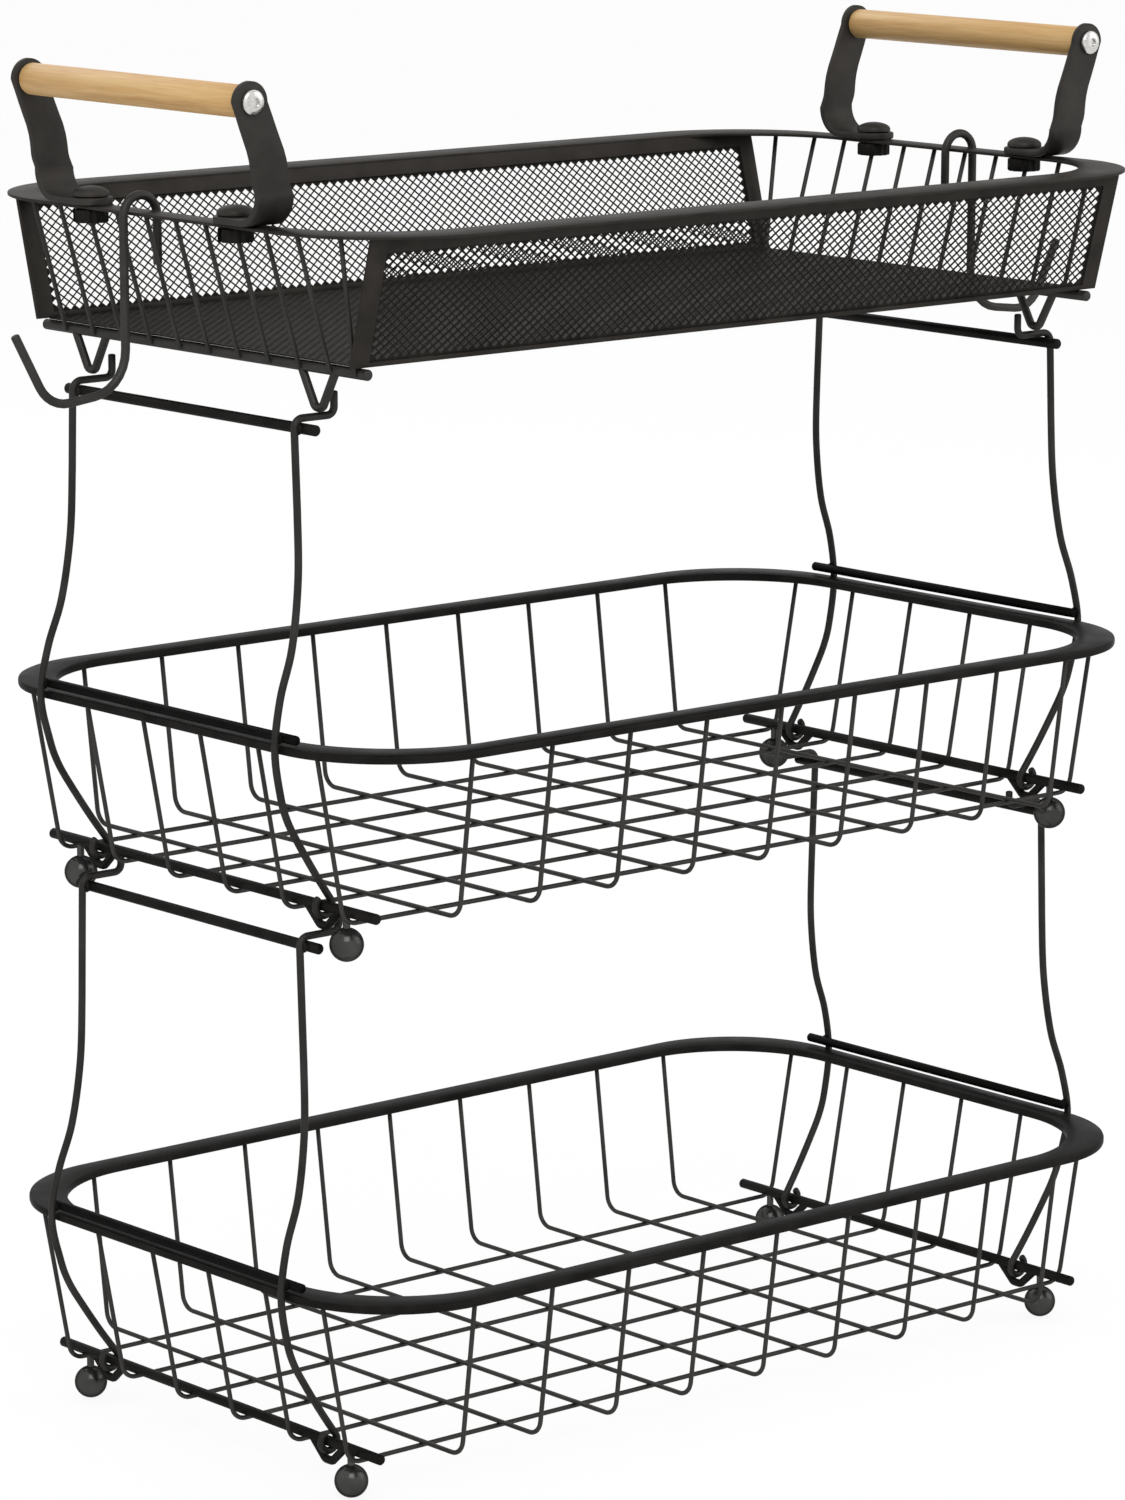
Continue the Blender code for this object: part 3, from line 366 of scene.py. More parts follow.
BALL_LOOK = {
    "dark": (0.046, 0.045, 0.044), "light": (0.082, 0.081, 0.079),
    "roughness": (0.16, 0.24), "metallic": 0.7, "shine": 0.06, "edge": 0.08,
}
BALL_PATCH_DETAIL = 3
BALL_PEEL_HEIGHT = PEEL_HEIGHT / 2
BALL_PEEL_STRENGTH = 0.2

STEEL_DARK = (0.50, 0.49, 0.47)
STEEL_LIGHT = (0.74, 0.73, 0.71)
STEEL_ROUGHNESS = (0.18, 0.34)
STEEL_RUB_SCALE = (900, 900, 2600)
STEEL_RUB_DETAIL = 3
STEEL_RUB_HEIGHT = PEEL_HEIGHT / 2
STEEL_RUB_STRENGTH = 0.25

WOOD_STOPS = (
    (0.30, (0.49, 0.265, 0.090)),
    (0.48, (0.68, 0.410, 0.158)),
    (0.70, (0.82, 0.555, 0.255)),
)
WOOD_STREAK_SCALE = (240, 8, 240)
WOOD_STREAK_DETAIL = 6
WOOD_PORE_SCALE = (2100, 70, 2100)
WOOD_PORE_DETAIL = 2
WOOD_PORE_SHARE = 0.30
WOOD_GRAIN_HEIGHT = 0.00008
WOOD_GRAIN_STRENGTH = 0.5
WOOD_ROUGHNESS = (0.58, 0.42)
WOOD_SHINE = 0.4


def add_node(tree, kind, inputs=None, **settings):
    made = tree.nodes.new(kind)
    for name, value in settings.items():
        setattr(made, name, value)
    for name, value in (inputs or {}).items():
        if isinstance(value, bpy.types.NodeSocket):
            tree.links.new(value, made.inputs[name])
        else:
            made.inputs[name].default_value = value
    return made


def start_material(name):
    material = bpy.data.materials.new(name)
    material.use_nodes = True
    tree = material.node_tree
    place = add_node(tree, "ShaderNodeTexCoord").outputs["Object"]
    return material, tree, tree.nodes["Principled BSDF"], place


def noise(tree, place, scale, detail, stretch=(1, 1, 1)):
    spread = add_node(tree, "ShaderNodeMapping", {"Vector": place, "Scale": stretch})
    values = {"Vector": spread.outputs["Vector"], "Scale": scale, "Detail": detail}
    return add_node(tree, "ShaderNodeTexNoise", values).outputs["Fac"]


def ramp(tree, value, stops):
    made = add_node(tree, "ShaderNodeValToRGB", {"Fac": value})
    elements = made.color_ramp.elements
    elements[0].position = stops[0][0]
    elements[1].position = stops[-1][0]
    for position, _ in stops[1:-1]:
        elements.new(position)
    for element, (_, colour) in zip(elements, stops):
        element.color = (*colour, 1.0)
    return made.outputs["Color"]


def spread_between(tree, value, low, high):
    """A noise value spread over a range of its own."""
    values = {"Value": value, "From Min": NOISE_LOW, "From Max": NOISE_HIGH,
              "To Min": low, "To Max": high}
    return add_node(tree, "ShaderNodeMapRange", values).outputs["Result"]


def bump(tree, height, strength, distance, under=None):
    """Fine relief from a height value, over an earlier bump if one is given."""
    values = {"Height": height, "Strength": strength, "Distance": distance}
    if under:
        values["Normal"] = under
    return add_node(tree, "ShaderNodeBump", values).outputs["Normal"]


def patch_colour(tree, patches, dark, light):
    return ramp(tree, patches, ((NOISE_LOW, dark), (NOISE_HIGH, light)))


def set_coat(tree, shader, patches, look):
    colour = patch_colour(tree, patches, look["dark"], look["light"])
    tree.links.new(colour, shader.inputs["Base Color"])
    tree.links.new(spread_between(tree, patches, *look["roughness"]), shader.inputs["Roughness"])
    shader.inputs["Metallic"].default_value = look["metallic"]
    shader.inputs["Specular IOR Level"].default_value = look["shine"]
    shader.inputs["Specular Tint"].default_value = (*[look["edge"]] * 3, 1.0)


def coat_material(name):
    """A baked coat of paint on steel, with the fine waves and grit of a sprayed powder."""
    material, tree, shader, place = start_material("fine_" + name)
    set_coat(tree, shader, noise(tree, place, PATCH_SCALE, PATCH_DETAIL), COATS[name])
    peel = noise(tree, place, PEEL_SCALE, PEEL_DETAIL)
    grit = noise(tree, place, GRIT_SCALE, GRIT_DETAIL)
    waves = bump(tree, peel, PEEL_STRENGTH, PEEL_HEIGHT)
    fine = bump(tree, grit, GRIT_STRENGTH, GRIT_HEIGHT, waves)
    tree.links.new(fine, shader.inputs["Normal"])
    return material


def ball_material():
    """A smoother and glossier coat than the wires have."""
    material, tree, shader, place = start_material("fine_ball_coat")
    set_coat(tree, shader, noise(tree, place, PATCH_SCALE, BALL_PATCH_DETAIL), BALL_LOOK)
    peel = noise(tree, place, PEEL_SCALE, PEEL_DETAIL)
    waves = bump(tree, peel, BALL_PEEL_STRENGTH, BALL_PEEL_HEIGHT)
    tree.links.new(waves, shader.inputs["Normal"])
    return material


def wood_material():
    """Turned hardwood whose grain runs along Y."""
    material, tree, shader, place = start_material("fine_wood")
    streaks = noise(tree, place, 1, WOOD_STREAK_DETAIL, WOOD_STREAK_SCALE)
    pores = noise(tree, place, 1, WOOD_PORE_DETAIL, WOOD_PORE_SCALE)
    mixed = add_node(tree, "ShaderNodeMix", {"Factor": WOOD_PORE_SHARE})
    tree.links.new(streaks, mixed.inputs["A"])
    tree.links.new(pores, mixed.inputs["B"])
    grain = mixed.outputs["Result"]
    tree.links.new(ramp(tree, grain, WOOD_STOPS), shader.inputs["Base Color"])
    tree.links.new(spread_between(tree, grain, *WOOD_ROUGHNESS), shader.inputs["Roughness"])
    ridges = bump(tree, grain, WOOD_GRAIN_STRENGTH, WOOD_GRAIN_HEIGHT)
    tree.links.new(ridges, shader.inputs["Normal"])
    shader.inputs["Specular IOR Level"].default_value = WOOD_SHINE
    return material


def steel_material():
    """Bright steel, rubbed a little dull."""
    material, tree, shader, place = start_material("fine_bright_steel")
    rubbed = noise(tree, place, 1, STEEL_RUB_DETAIL, STEEL_RUB_SCALE)
    colour = patch_colour(tree, rubbed, STEEL_DARK, STEEL_LIGHT)
    tree.links.new(colour, shader.inputs["Base Color"])
    tree.links.new(spread_between(tree, rubbed, *STEEL_ROUGHNESS), shader.inputs["Roughness"])
    ridges = bump(tree, rubbed, STEEL_RUB_STRENGTH, STEEL_RUB_HEIGHT)
    tree.links.new(ridges, shader.inputs["Normal"])
    shader.inputs["Metallic"].default_value = 1.0
    return material


MATERIALS = {name: coat_material(name) for name in COATS}
MATERIALS["ball_coat"] = ball_material()
MATERIALS["wood"] = wood_material()
MATERIALS["bright_steel"] = steel_material()


# Pieces

def make_mesh(name, bm):
    bmesh.ops.recalc_face_normals(bm, faces=bm.faces)
    mesh = bpy.data.meshes.new(name)
    bm.to_mesh(mesh)
    bm.free()
    return mesh


def make_object(name, mesh):
    made = bpy.data.objects.new(name, mesh)
    bpy.context.scene.collection.objects.link(made)
    return made


def add_piece(node, bm, slot, look=None):
    """The fine piece that stands for a node, riding on the node's body."""
    mesh = make_mesh("fine_" + node, bm)
    mesh.shade_smooth()
    mesh.set_sharp_from_angle(angle=SMOOTH_ANGLE)
    mesh.materials.append(MATERIALS[look or slot])
    made = make_object("fine_" + node, mesh)
    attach(made, frame["nodes"][node]["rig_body"])
    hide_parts(node)


def welded(first, second):
    """Two closed shapes joined by a Boolean union."""
    base = make_object("weld_base", make_mesh("weld_base", first))
    added = make_object("weld_added", make_mesh("weld_added", second))
    union = base.modifiers.new("weld", "BOOLEAN")
    union.operation = "UNION"
    union.solver = "MANIFOLD"
    union.object = added
    evaluated = base.evaluated_get(bpy.context.evaluated_depsgraph_get())
    joined = bmesh.new()
    joined.from_mesh(evaluated.data)
    for used in (base, added):
        mesh = used.data
        bpy.data.objects.remove(used)
        bpy.data.meshes.remove(mesh)
    return joined


def end_place(tier, sign, spot=(0, 0, 0)):
    """Where an end's shapes go: +X outward, Z from the rail's axis."""
    turn = Matrix.Rotation(0 if sign > 0 else pi, 4, "Z")
    rail = Matrix.Translation((sign * RAIL_OUT, 0, RAIL_Z[tier]))
    return rail @ turn @ Matrix.Translation(spot)


# Shapes

def add_loft(bm, rings, closed=False):
    """A solid through rings of the same number of points, with end faces unless closed."""
    verts = [[bm.verts.new(point) for point in ring] for ring in rings]
    count = len(verts[0])
    following = verts[1:] + verts[:1] if closed else verts[1:]
    for ring, next_ring in zip(verts, following):
        for k in range(count):
            j = (k + 1) % count
            bm.faces.new((ring[k], ring[j], next_ring[j], next_ring[k]))
    if not closed:
        bm.faces.new(verts[0])
        bm.faces.new(verts[-1])


def tip_rings(ring, middle, run, radius):
    """Rings of a wire's rounded tip, from the tip inward along run."""
    rings = []
    for depth, width in TIP_PROFILE_SHARES:
        centre = middle + run * depth * radius
        rings.append([centre + (corner - middle) * width for corner in ring])
    return rings


def add_tube(bm, path, radius, sides, across):
    """A round wire along a path, mitred at each point, with rounded tips."""
    points = [Vector(point) for point in path]
    runs = [(b - a).normalized() for a, b in zip(points, points[1:])]
    side = Vector(across).normalized()
    over = runs[0].cross(side)
    corners = []
    for k in range(sides):
        angle = 2 * pi * k / sides
        corners.append(points[0] + radius * (cos(angle) * side + sin(angle) * over))
    rings = [corners]
    for i, centre in enumerate(points[1:]):
        run = runs[i]
        next_run = runs[min(i + 1, len(runs) - 1)]
        normal = (run + next_run).normalized()
        corners = [c + run * ((centre - c).dot(normal) / run.dot(normal)) for c in corners]
        rings.append(corners)
    start = tip_rings(rings[0], points[0], runs[0], radius)
    end = tip_rings(rings[-1], points[-1], -runs[-1], radius)
    add_loft(bm, start + rings[1:-1] + end[::-1])


def tube(path, radius, sides, across):
    bm = bmesh.new()
    add_tube(bm, path, radius, sides, across)
    return bm


def rounded_path(corners, radii):
    """A path through corners, each but the first and last rounded to its radius."""
    points = [Vector(corner) for corner in corners]
    path = [points[0]]
    for before, corner, after, radius in zip(points, points[1:], points[2:], radii):
        run_in = (corner - before).normalized()
        run_out = (after - corner).normalized()
        turn = run_in.angle(run_out)
        axis = run_in.cross(run_out).normalized()
        start = corner - run_in * radius * tan(turn / 2)
        centre = start + axis.cross(run_in) * radius
        steps = max(1, ceil(turn / BEND_STEP))
        for k in range(steps + 1):
            path.append(centre + Quaternion(axis, turn * k / steps) @ (start - centre))
    path.append(points[-1])
    return path


def smooth_between(points, steps):
    """Points on a Catmull-Rom curve through the given points."""
    ends = [points[0]] + points + [points[-1]]
    curve = [points[0]]
    for a, b, c, d in zip(ends, ends[1:], ends[2:], ends[3:]):
        for k in range(1, steps + 1):
            t = k / steps
            bend = (c - a) * t + (2 * a - 5 * b + 4 * c - d) * t ** 2
            bend += (3 * b - a - 3 * c + d) * t ** 3
            curve.append(b + bend / 2)
    return curve


def rounded_rectangle(half_x, half_y, radius):
    """Outline points, anticlockwise from the +X side's +Y corner."""
    outline = []
    for quarter, (sx, sy) in enumerate(((1, 1), (-1, 1), (-1, -1), (1, -1))):
        for k in range(CORNER_STEPS + 1):
            angle = (quarter + k / CORNER_STEPS) * pi / 2
            x = sx * (half_x - radius) + radius * cos(angle)
            y = sy * (half_y - radius) + radius * sin(angle)
            outline.append(Vector((x, y, 0)))
    return outline


def rectangle(low_x, high_x, low_z, high_z):
    corners = ((low_x, low_z), (high_x, low_z), (high_x, high_z), (low_x, high_z))
    return [Vector((x, 0, z)) for x, z in corners]


def edged_ring(outer, hole, thickness, edge, up):
    """A flat ring with rounded edges. outer and hole give their outline at an inset."""
    half = thickness / 2
    loops = []
    for outline, order in ((outer, 1), (hole, -1)):
        face_edges = [(inset * edge, half - drop * edge) for inset, drop in EDGE_PROFILE_SHARES]
        back_edges = [(inset, -height) for inset, height in reversed(face_edges)]
        for inset, height in (face_edges + back_edges)[::order]:
            loops.append([point + Vector(up) * height for point in outline(inset)])
    bm = bmesh.new()
    add_loft(bm, loops, closed=True)
    return bm


def turned(profile):
    """A closed solid turned about Z from (radius, height) points, bottom to top."""
    rings = []
    for radius, height in profile:
        ring = []
        for k in range(TURNED_SIDES):
            angle = 2 * pi * k / TURNED_SIDES
            ring.append(Vector((radius * cos(angle), radius * sin(angle), height)))
        rings.append(ring)
    bm = bmesh.new()
    add_loft(bm, rings)
    return bm


def add_bead(bm, spot, radii):
    """A weld bead: a small rounded lump."""
    shape = Matrix.LocRotScale(spot, None, radii)
    bmesh.ops.create_uvsphere(bm, u_segments=BEAD_SIDES, v_segments=BEAD_RINGS, radius=1,
                              matrix=shape)


# Rims

def make_rim(tier, slot, thickness, side_strip, hole_radius):
    def outer(inset):
        half_width = RIM_HALF_WIDTH - inset
        return rounded_rectangle(RIM_HALF_LENGTH - inset, half_width, RIM_CORNER_RADIUS - inset)

    def hole(inset):
        half_length = RIM_HALF_LENGTH - RIM_STRIP_WIDTH + inset
        half_width = RIM_HALF_WIDTH - side_strip + inset
        return rounded_rectangle(half_length, half_width, hole_radius + inset)

    bm = edged_ring(outer, hole, thickness, thickness * RIM_EDGE_SHARE, (0, 0, 1))
    bm.transform(Matrix.Translation((0, 0, middle_height(tier + "_rim"))))
    add_piece(tier + "_rim", bm, slot)


# The two lower baskets

def wire_loops(count, pitch, half_top, half_floor, top, floor, along):
    """Parallel wires that hang from the rim, turn and cross the floor."""
    bm = bmesh.new()
    for k in range(count):
        across = (k - (count - 1) / 2) * pitch
        outline = (-half_top, top), (-half_floor, floor), (half_floor, floor), (half_top, top)
        if along == "X":
            corners = [(out, across, height) for out, height in outline]
            side = (0, 1, 0)
        else:
            corners = [(across, out, height) for out, height in outline]
            side = (1, 0, 0)
        path = rounded_path(corners, (WIRE_BEND_RADIUS, WIRE_BEND_RADIUS))
        add_tube(bm, path, WIRE_RADIUS, WIRE_SIDES, side)
    return bm


def make_cage(tier):
    top = RIM_HEIGHT - RIM_THICKNESS / 2 + WIRE_INTO_RIM
    floor_half_length = RAIL_OUT + LENGTHWISE_DROP + END_WALL_OUTSET
    lengthwise = wire_loops(LENGTHWISE_WIRES, LENGTHWISE_PITCH, STRIP_MID_OUT,
                            floor_half_length, top, -LENGTHWISE_DROP, "X")
    crosswise = wire_loops(CROSSWISE_WIRES, CROSSWISE_PITCH, STRIP_MID_Y,
                           STRIP_MID_Y - LONG_WALL_LEAN, top, -CROSSWISE_DROP, "Y")
    bm = welded(lengthwise, crosswise)
    bm.transform(Matrix.Translation((0, 0, RAIL_Z[tier])))
    add_piece(tier + "_wires", bm, "black_coat", "wire_coat_painted_sheen")


def add_feet(bm, depth):
    """The two V-shaped feet under an end rail."""
    for side in (-1, 1):
        middle = side * FOOT_Y
        corners = [
            (0, middle - FOOT_HALF_SPREAD, 0),
            (0, middle - FOOT_HALF_FLAT, -depth),
            (0, middle + FOOT_HALF_FLAT, -depth),
            (0, middle + FOOT_HALF_SPREAD, 0),
        ]
        path = rounded_path(corners, (FOOT_BEND_RADIUS, FOOT_BEND_RADIUS))
        add_tube(bm, path, FOOT_WIRE_RADIUS, TUBE_SIDES, (1, 0, 0))


def straight_wire(half_length, radius):
    return tube([(0, -half_length, 0), (0, half_length, 0)], radius, TUBE_SIDES, (1, 0, 0))


def make_rail(tier, side, sign):
    feet = bmesh.new()
    add_feet(feet, FOOT_DEPTH)
    bm = welded(straight_wire(OUTER_WIRE_Y + RAIL_OVERHANG, RAIL_RADIUS), feet)
    bm.transform(end_place(tier, sign))
    add_piece(tier + "_rail_" + side, bm, "black_coat")


def make_balls(tier, side, sign):
    for face, face_sign in FACES:
        ball = bmesh.new()
        bmesh.ops.create_uvsphere(ball, u_segments=TURNED_SIDES, v_segments=BALL_RINGS,
                                  radius=BALL_RADIUS)
        neck_top = BALL_DROP - RAIL_RADIUS / 2
        neck = turned(((BALL_NECK_RADIUS, 0), (BALL_NECK_RADIUS, neck_top)))
        bm = welded(ball, neck)
        bm.transform(end_place(tier, sign, (0, sign * face_sign * BALL_Y, -BALL_DROP)))
        add_piece("_".join((tier, "ball", side, face)), bm, "ball_coat")


# Folding end frames

def upright_lean(height, seat_height):
    """How much further from the middle an upright lies at a height than at its eye."""
    if height < RIM_HEIGHT:
        return UPRIGHT_SPLAY * height / RIM_HEIGHT
    over = (height - RIM_HEIGHT) / (seat_height - RIM_HEIGHT)
    return UPRIGHT_SPLAY - (UPRIGHT_SPLAY + HOOK_INSET) * over


def eye_path(side):
    """Round the rail, from the free end up to the foot of the bulge."""
    path = []
    steps = ceil(EYE_WRAP / BEND_STEP)
    for k in range(steps + 1):
        angle = pi - EYE_LEAN + EYE_WRAP * (1 - k / steps)
        path.append(Vector((EYE_RADIUS * cos(angle), side * FOOT_Y, EYE_RADIUS * sin(angle))))
    return path


def bulge_points(seat_height, side):
    """Points of the bulge round the rim and of the waist over it: height and place out."""
    places = [(rise, share * BULGE_OFFSET)
              for rise, share in zip(BULGE_RISE_SHARES, BULGE_OFFSET_SHARES)]
    waist = BULGE_OFFSET - UPRIGHT_STRAIGHT_OFFSET
    places += [(rise, UPRIGHT_STRAIGHT_OFFSET + share * waist)
               for rise, share in zip(WAIST_RISE_SHARES, WAIST_OFFSET_SHARES)]
    points = []
    for rise, out in places:
        y = side * (FOOT_Y + upright_lean(rise * RIM_HEIGHT, seat_height))
        points.append(Vector((out, y, rise * RIM_HEIGHT)))
    return points


def upright_path(seat_height, lip_rise, side):
    """From the eye round the rail, up the bulge, to the hook under the next basket's foot."""
    path = eye_path(side)
    bends = path[-1:] + bulge_points(seat_height, side)
    path += smooth_between(bends, CURVE_STEPS)[1:]
    y = side * HOOK_Y
    corners = [
        path[-1],
        (UPRIGHT_STRAIGHT_OFFSET, y, seat_height),
        (-LIP_REACH, y, seat_height),
        (-LIP_REACH, y, seat_height + lip_rise),
    ]
    return path + rounded_path(corners, (HOOK_SEAT_BEND, LIP_BEND_RADIUS))[1:]


def make_cross_bar(node, place, radius, half_length, middle, weld_y, look):
    """A bar across a frame, with a weld bead at each upright."""
    beads = bmesh.new()
    for side in (-1, 1):
        add_bead(beads, Vector((radius, side * weld_y - middle, 0)), WELD_BEAD_RADII)
    bm = welded(straight_wire(half_length, radius), beads)
    bm.transform(place @ Matrix.Translation((0, middle, 0)))
    add_piece(node, bm, "black_coat", look)


def make_frame(level, tier, side, sign, seat_height, lip_rise, rod_half_length):
    for face, face_sign in FACES:
        path = upright_path(seat_height, lip_rise, sign * face_sign)
        bm = tube(path, UPRIGHT_RADIUS, TUBE_SIDES, (0, 1, 0))
        bm.transform(end_place(tier, sign))
        add_piece("_".join((level, "upright", side, face)), bm, "black_coat", "upright_coat_painted_shade")
    bar_place = end_place(tier, sign, (BAR_OFFSET, 0, BAR_HEIGHT))
    make_cross_bar("_".join((level, "bar", side)), bar_place, BAR_RADIUS, BAR_HALF_LENGTH,
                   BAR_MIDDLE, BAR_WELD_Y, "bar_coat_painted_shade")
    rod_place = end_place(tier, sign, (ROD_OFFSET, 0, seat_height - HOOK_SEAT_BEND))
    make_cross_bar("_".join((level, "rod", side)), rod_place, ROD_RADIUS, rod_half_length,
                   0, HOOK_Y, "black_coat")


# Top basket

def end_wire_places():
    return [TOP_END_SHIFT + (k - (TOP_END_WIRES - 1) / 2) * TOP_END_PITCH
            for k in range(TOP_END_WIRES)]


def strip_middle_out(y):
    """How far out the middle of the rim's strip lies at one place across, from the middle."""
    over = max(0, abs(y) - (RIM_HALF_WIDTH - RIM_CORNER_RADIUS))
    bend = RIM_CORNER_RADIUS - RIM_STRIP_WIDTH / 2
    return RIM_HALF_LENGTH - RIM_CORNER_RADIUS + sqrt(bend ** 2 - over ** 2)


def make_end_grille(side, sign):
    wires = bmesh.new()
    add_feet(wires, TOP_FOOT_DEPTH)
    top = TOP_RIM_UNDERSIDE + WIRE_INTO_RIM
    for y in end_wire_places():
        foot_y = max(-END_FOOT_LIMIT, min(y, END_FOOT_LIMIT))
        ends = [(RAIL_RADIUS, foot_y, -WIRE_RADIUS), (strip_middle_out(y) - RAIL_OUT, y, top)]
        add_tube(wires, ends, WIRE_RADIUS, WIRE_SIDES, (0, 1, 0))
    bm = welded(straight_wire(OUTER_WIRE_Y + TOP_RAIL_OVERHANG, RAIL_RADIUS), wires)
    bm.transform(end_place("top", sign))
    add_piece("top_end_" + side, bm, "black_coat", "wire_coat_painted_sheen")


def net_faces(bm, lattice_point, columns, rows, gap_share):
    """Faces of a net: knots on a staggered lattice, with a gap inside each ring of four."""
    knots = {}
    for i in range(2 * columns + 1):
        for j in range(i % 2, 2 * rows + 1, 2):
            knots[i, j] = bm.verts.new(lattice_point(i, j))
    faces = []
    for i in range(2 * columns + 1):
        for j in range(1 - i % 2, 2 * rows + 1, 2):
            around = [(i - 1, j), (i, j - 1), (i + 1, j), (i, j + 1)]
            knot_ring = [knots[spot] for spot in around if spot in knots]
            if len(knot_ring) < 4:
                faces.append(bm.faces.new(knot_ring))
                continue
            centre = lattice_point(i, j)
            hole = [bm.verts.new(centre.lerp(knot.co, gap_share)) for knot in knot_ring]
            for k in range(4):
                m = (k + 1) % 4
                faces.append(bm.faces.new((knot_ring[k], knot_ring[m], hole[m], hole[k])))
    return faces


def thicken_net(bm, faces, up):
    made = bmesh.ops.extrude_face_region(bm, geom=faces)
    raised = [item for item in made["geom"] if isinstance(item, bmesh.types.BMVert)]
    bmesh.ops.translate(bm, verts=raised, vec=up * NET_THICKNESS)
    bmesh.ops.translate(bm, verts=bm.verts, vec=up * (-NET_THICKNESS / 2))


def diamond_net(half_x, low, high, pitch, row_rise, strand, plane):
    """A flat net of diamond gaps, staggered row by row, with a solid edge of half diamonds."""
    columns = round(2 * half_x / pitch)
    rows = round((high - low) / row_rise)
    step_x = half_x / columns
    step_z = (high - low) / (2 * rows)
    strand_share = strand / 2 * hypot(step_x, step_z) / (step_x * step_z)

    def lattice_point(i, j):
        x = -half_x + i * step_x
        z = low + j * step_z
        return Vector((x, 0, z)) if plane == "XZ" else Vector((x, z, 0))

    bm = bmesh.new()
    faces = net_faces(bm, lattice_point, columns, rows, 1 - strand_share)
    thicken_net(bm, faces, Vector((0, 1, 0) if plane == "XZ" else (0, 0, 1)))
    return bm


def make_mesh_sides():
    net_half = SIDE_HALF_LENGTH - SIDE_POST_WIDTH
    net_low = SIDE_BOTTOM_BAND
    net_high = SIDE_LENGTH - SIDE_TOP_BAND

    def outer(inset):
        half = SIDE_HALF_LENGTH - inset
        return rectangle(-half, half, inset, SIDE_LENGTH + SIDE_INTO_RIM - inset)

    def hole(inset):
        half = net_half + inset
        return rectangle(-half, half, net_low - inset, net_high + inset)

    for face, face_sign in FACES:
        turn = Euler((-SIDE_LEAN, 0, 0 if face == "far" else pi))
        foot = Vector((0, face_sign * SIDE_FOOT_HALF_WIDTH, RAIL_Z["top"] + SIDE_FOOT_HEIGHT))
        place = Matrix.LocRotScale(foot, turn, None)
        plate = edged_ring(outer, hole, SIDE_FRAME_THICKNESS, SIDE_FRAME_EDGE, (0, 1, 0))
        net = diamond_net(net_half, net_low, net_high, SIDE_NET_PITCH, SIDE_NET_RISE,
                          SIDE_NET_STRAND, "XZ")
        plate.transform(place)
        net.transform(place)
        add_piece("top_side_frame_" + face, plate, "grey_coat")
        add_piece("top_side_mesh_" + face, net, "mesh_coat")


def make_mesh_floor():
    net = diamond_net(FLOOR_HALF_LENGTH, -FLOOR_HALF_WIDTH, FLOOR_HALF_WIDTH, FLOOR_NET_PITCH,
                      FLOOR_NET_RISE, FLOOR_NET_STRAND, "XY")
    net.transform(Matrix.Translation((0, 0, RAIL_Z["top"] + RAIL_RADIUS + GAP + NET_FLOOR_LIFT)))
    add_piece("top_floor_mesh", net, "mesh_coat")


# Handles, in the frame of the top basket's end

def strap_foot_sections(foot_out):
    """The round end that lies on the rim, and the bend up from it."""
    sections = []
    for k in range(STRAP_ROUND_STEPS):
        angle = pi / 2 * (k + 0.5) / STRAP_ROUND_STEPS
        y = CAP_Y - STRAP_HALF_WIDTH * cos(angle)
        width = STRAP_HALF_WIDTH * sin(angle)
        sections.append((y, STRAP_FOOT_HEIGHT, (0, 1), foot_out, width))
    bend_y = STRAP_MID_Y - STRAP_BEND_RADIUS
    bend_z = STRAP_FOOT_HEIGHT + STRAP_BEND_RADIUS
    for k in range(STRAP_BEND_STEPS + 1):
        angle = pi / 2 * k / STRAP_BEND_STEPS
        normal = (-sin(angle), cos(angle))
        y = bend_y + STRAP_BEND_RADIUS * sin(angle)
        z = bend_z - STRAP_BEND_RADIUS * cos(angle)
        sections.append((y, z, normal, foot_out, STRAP_HALF_WIDTH))
    return sections


def strap_post_sections(foot_out):
    """The post, leaning outward, and its round top at the end of the grip."""
    sections = []
    for rise, lean in zip(STRAP_RISE_SHARES, STRAP_LEAN_SHARES):
        z = TOP_RIM_TOP + rise * GRIP_HEIGHT
        width = STRAP_HALF_WIDTH + (STRAP_TOP_RADIUS - STRAP_HALF_WIDTH) * rise
        sections.append((STRAP_MID_Y, z, (-1, 0), foot_out + lean * GRIP_LEAN, width))
    for k in range(1, STRAP_ROUND_STEPS + 1):
        angle = pi / 2 * (k - 0.5) / STRAP_ROUND_STEPS
        z = GRIP_Z + STRAP_TOP_RADIUS * sin(angle)
        width = STRAP_TOP_RADIUS * cos(angle)
        sections.append((STRAP_MID_Y, z, (-1, 0), foot_out + GRIP_LEAN, width))
    return sections


def strap_sections():
    """Middle line of a strap on the +Y side: (y, z, normal in YZ, X middle, half width)."""
    foot_out = STRAP_FOOT_OUT - RAIL_OUT
    return strap_foot_sections(foot_out) + strap_post_sections(foot_out)


def strap_ring(width, normal, middle, y_sign):
    """The strap's rounded cross-section at one place along it."""
    edge = min(STRAP_EDGE, width / 2)
    half = STRAP_THICKNESS / 2
    quarter = [(width - inset * edge, half - drop * edge) for inset, drop in EDGE_PROFILE_SHARES]
    outline = quarter + [(x, -n) for x, n in reversed(quarter)]
    outline += [(-x, n) for x, n in reversed(outline)]
    ring = []
    for x, n in outline:
        corner = middle + Vector((x, n * normal[0], n * normal[1]))
        corner.y *= y_sign
        ring.append(corner)
    return ring


def make_strap(spot, y_sign, place):
    rings = []
    for y, z, normal, out, width in strap_sections():
        rings.append(strap_ring(width, normal, Vector((out, y, z)), y_sign))
    bm = bmesh.new()
    add_loft(bm, rings)
    bm.transform(place)
    add_piece("strap_" + spot, bm, "black_coat", "strap_coat")


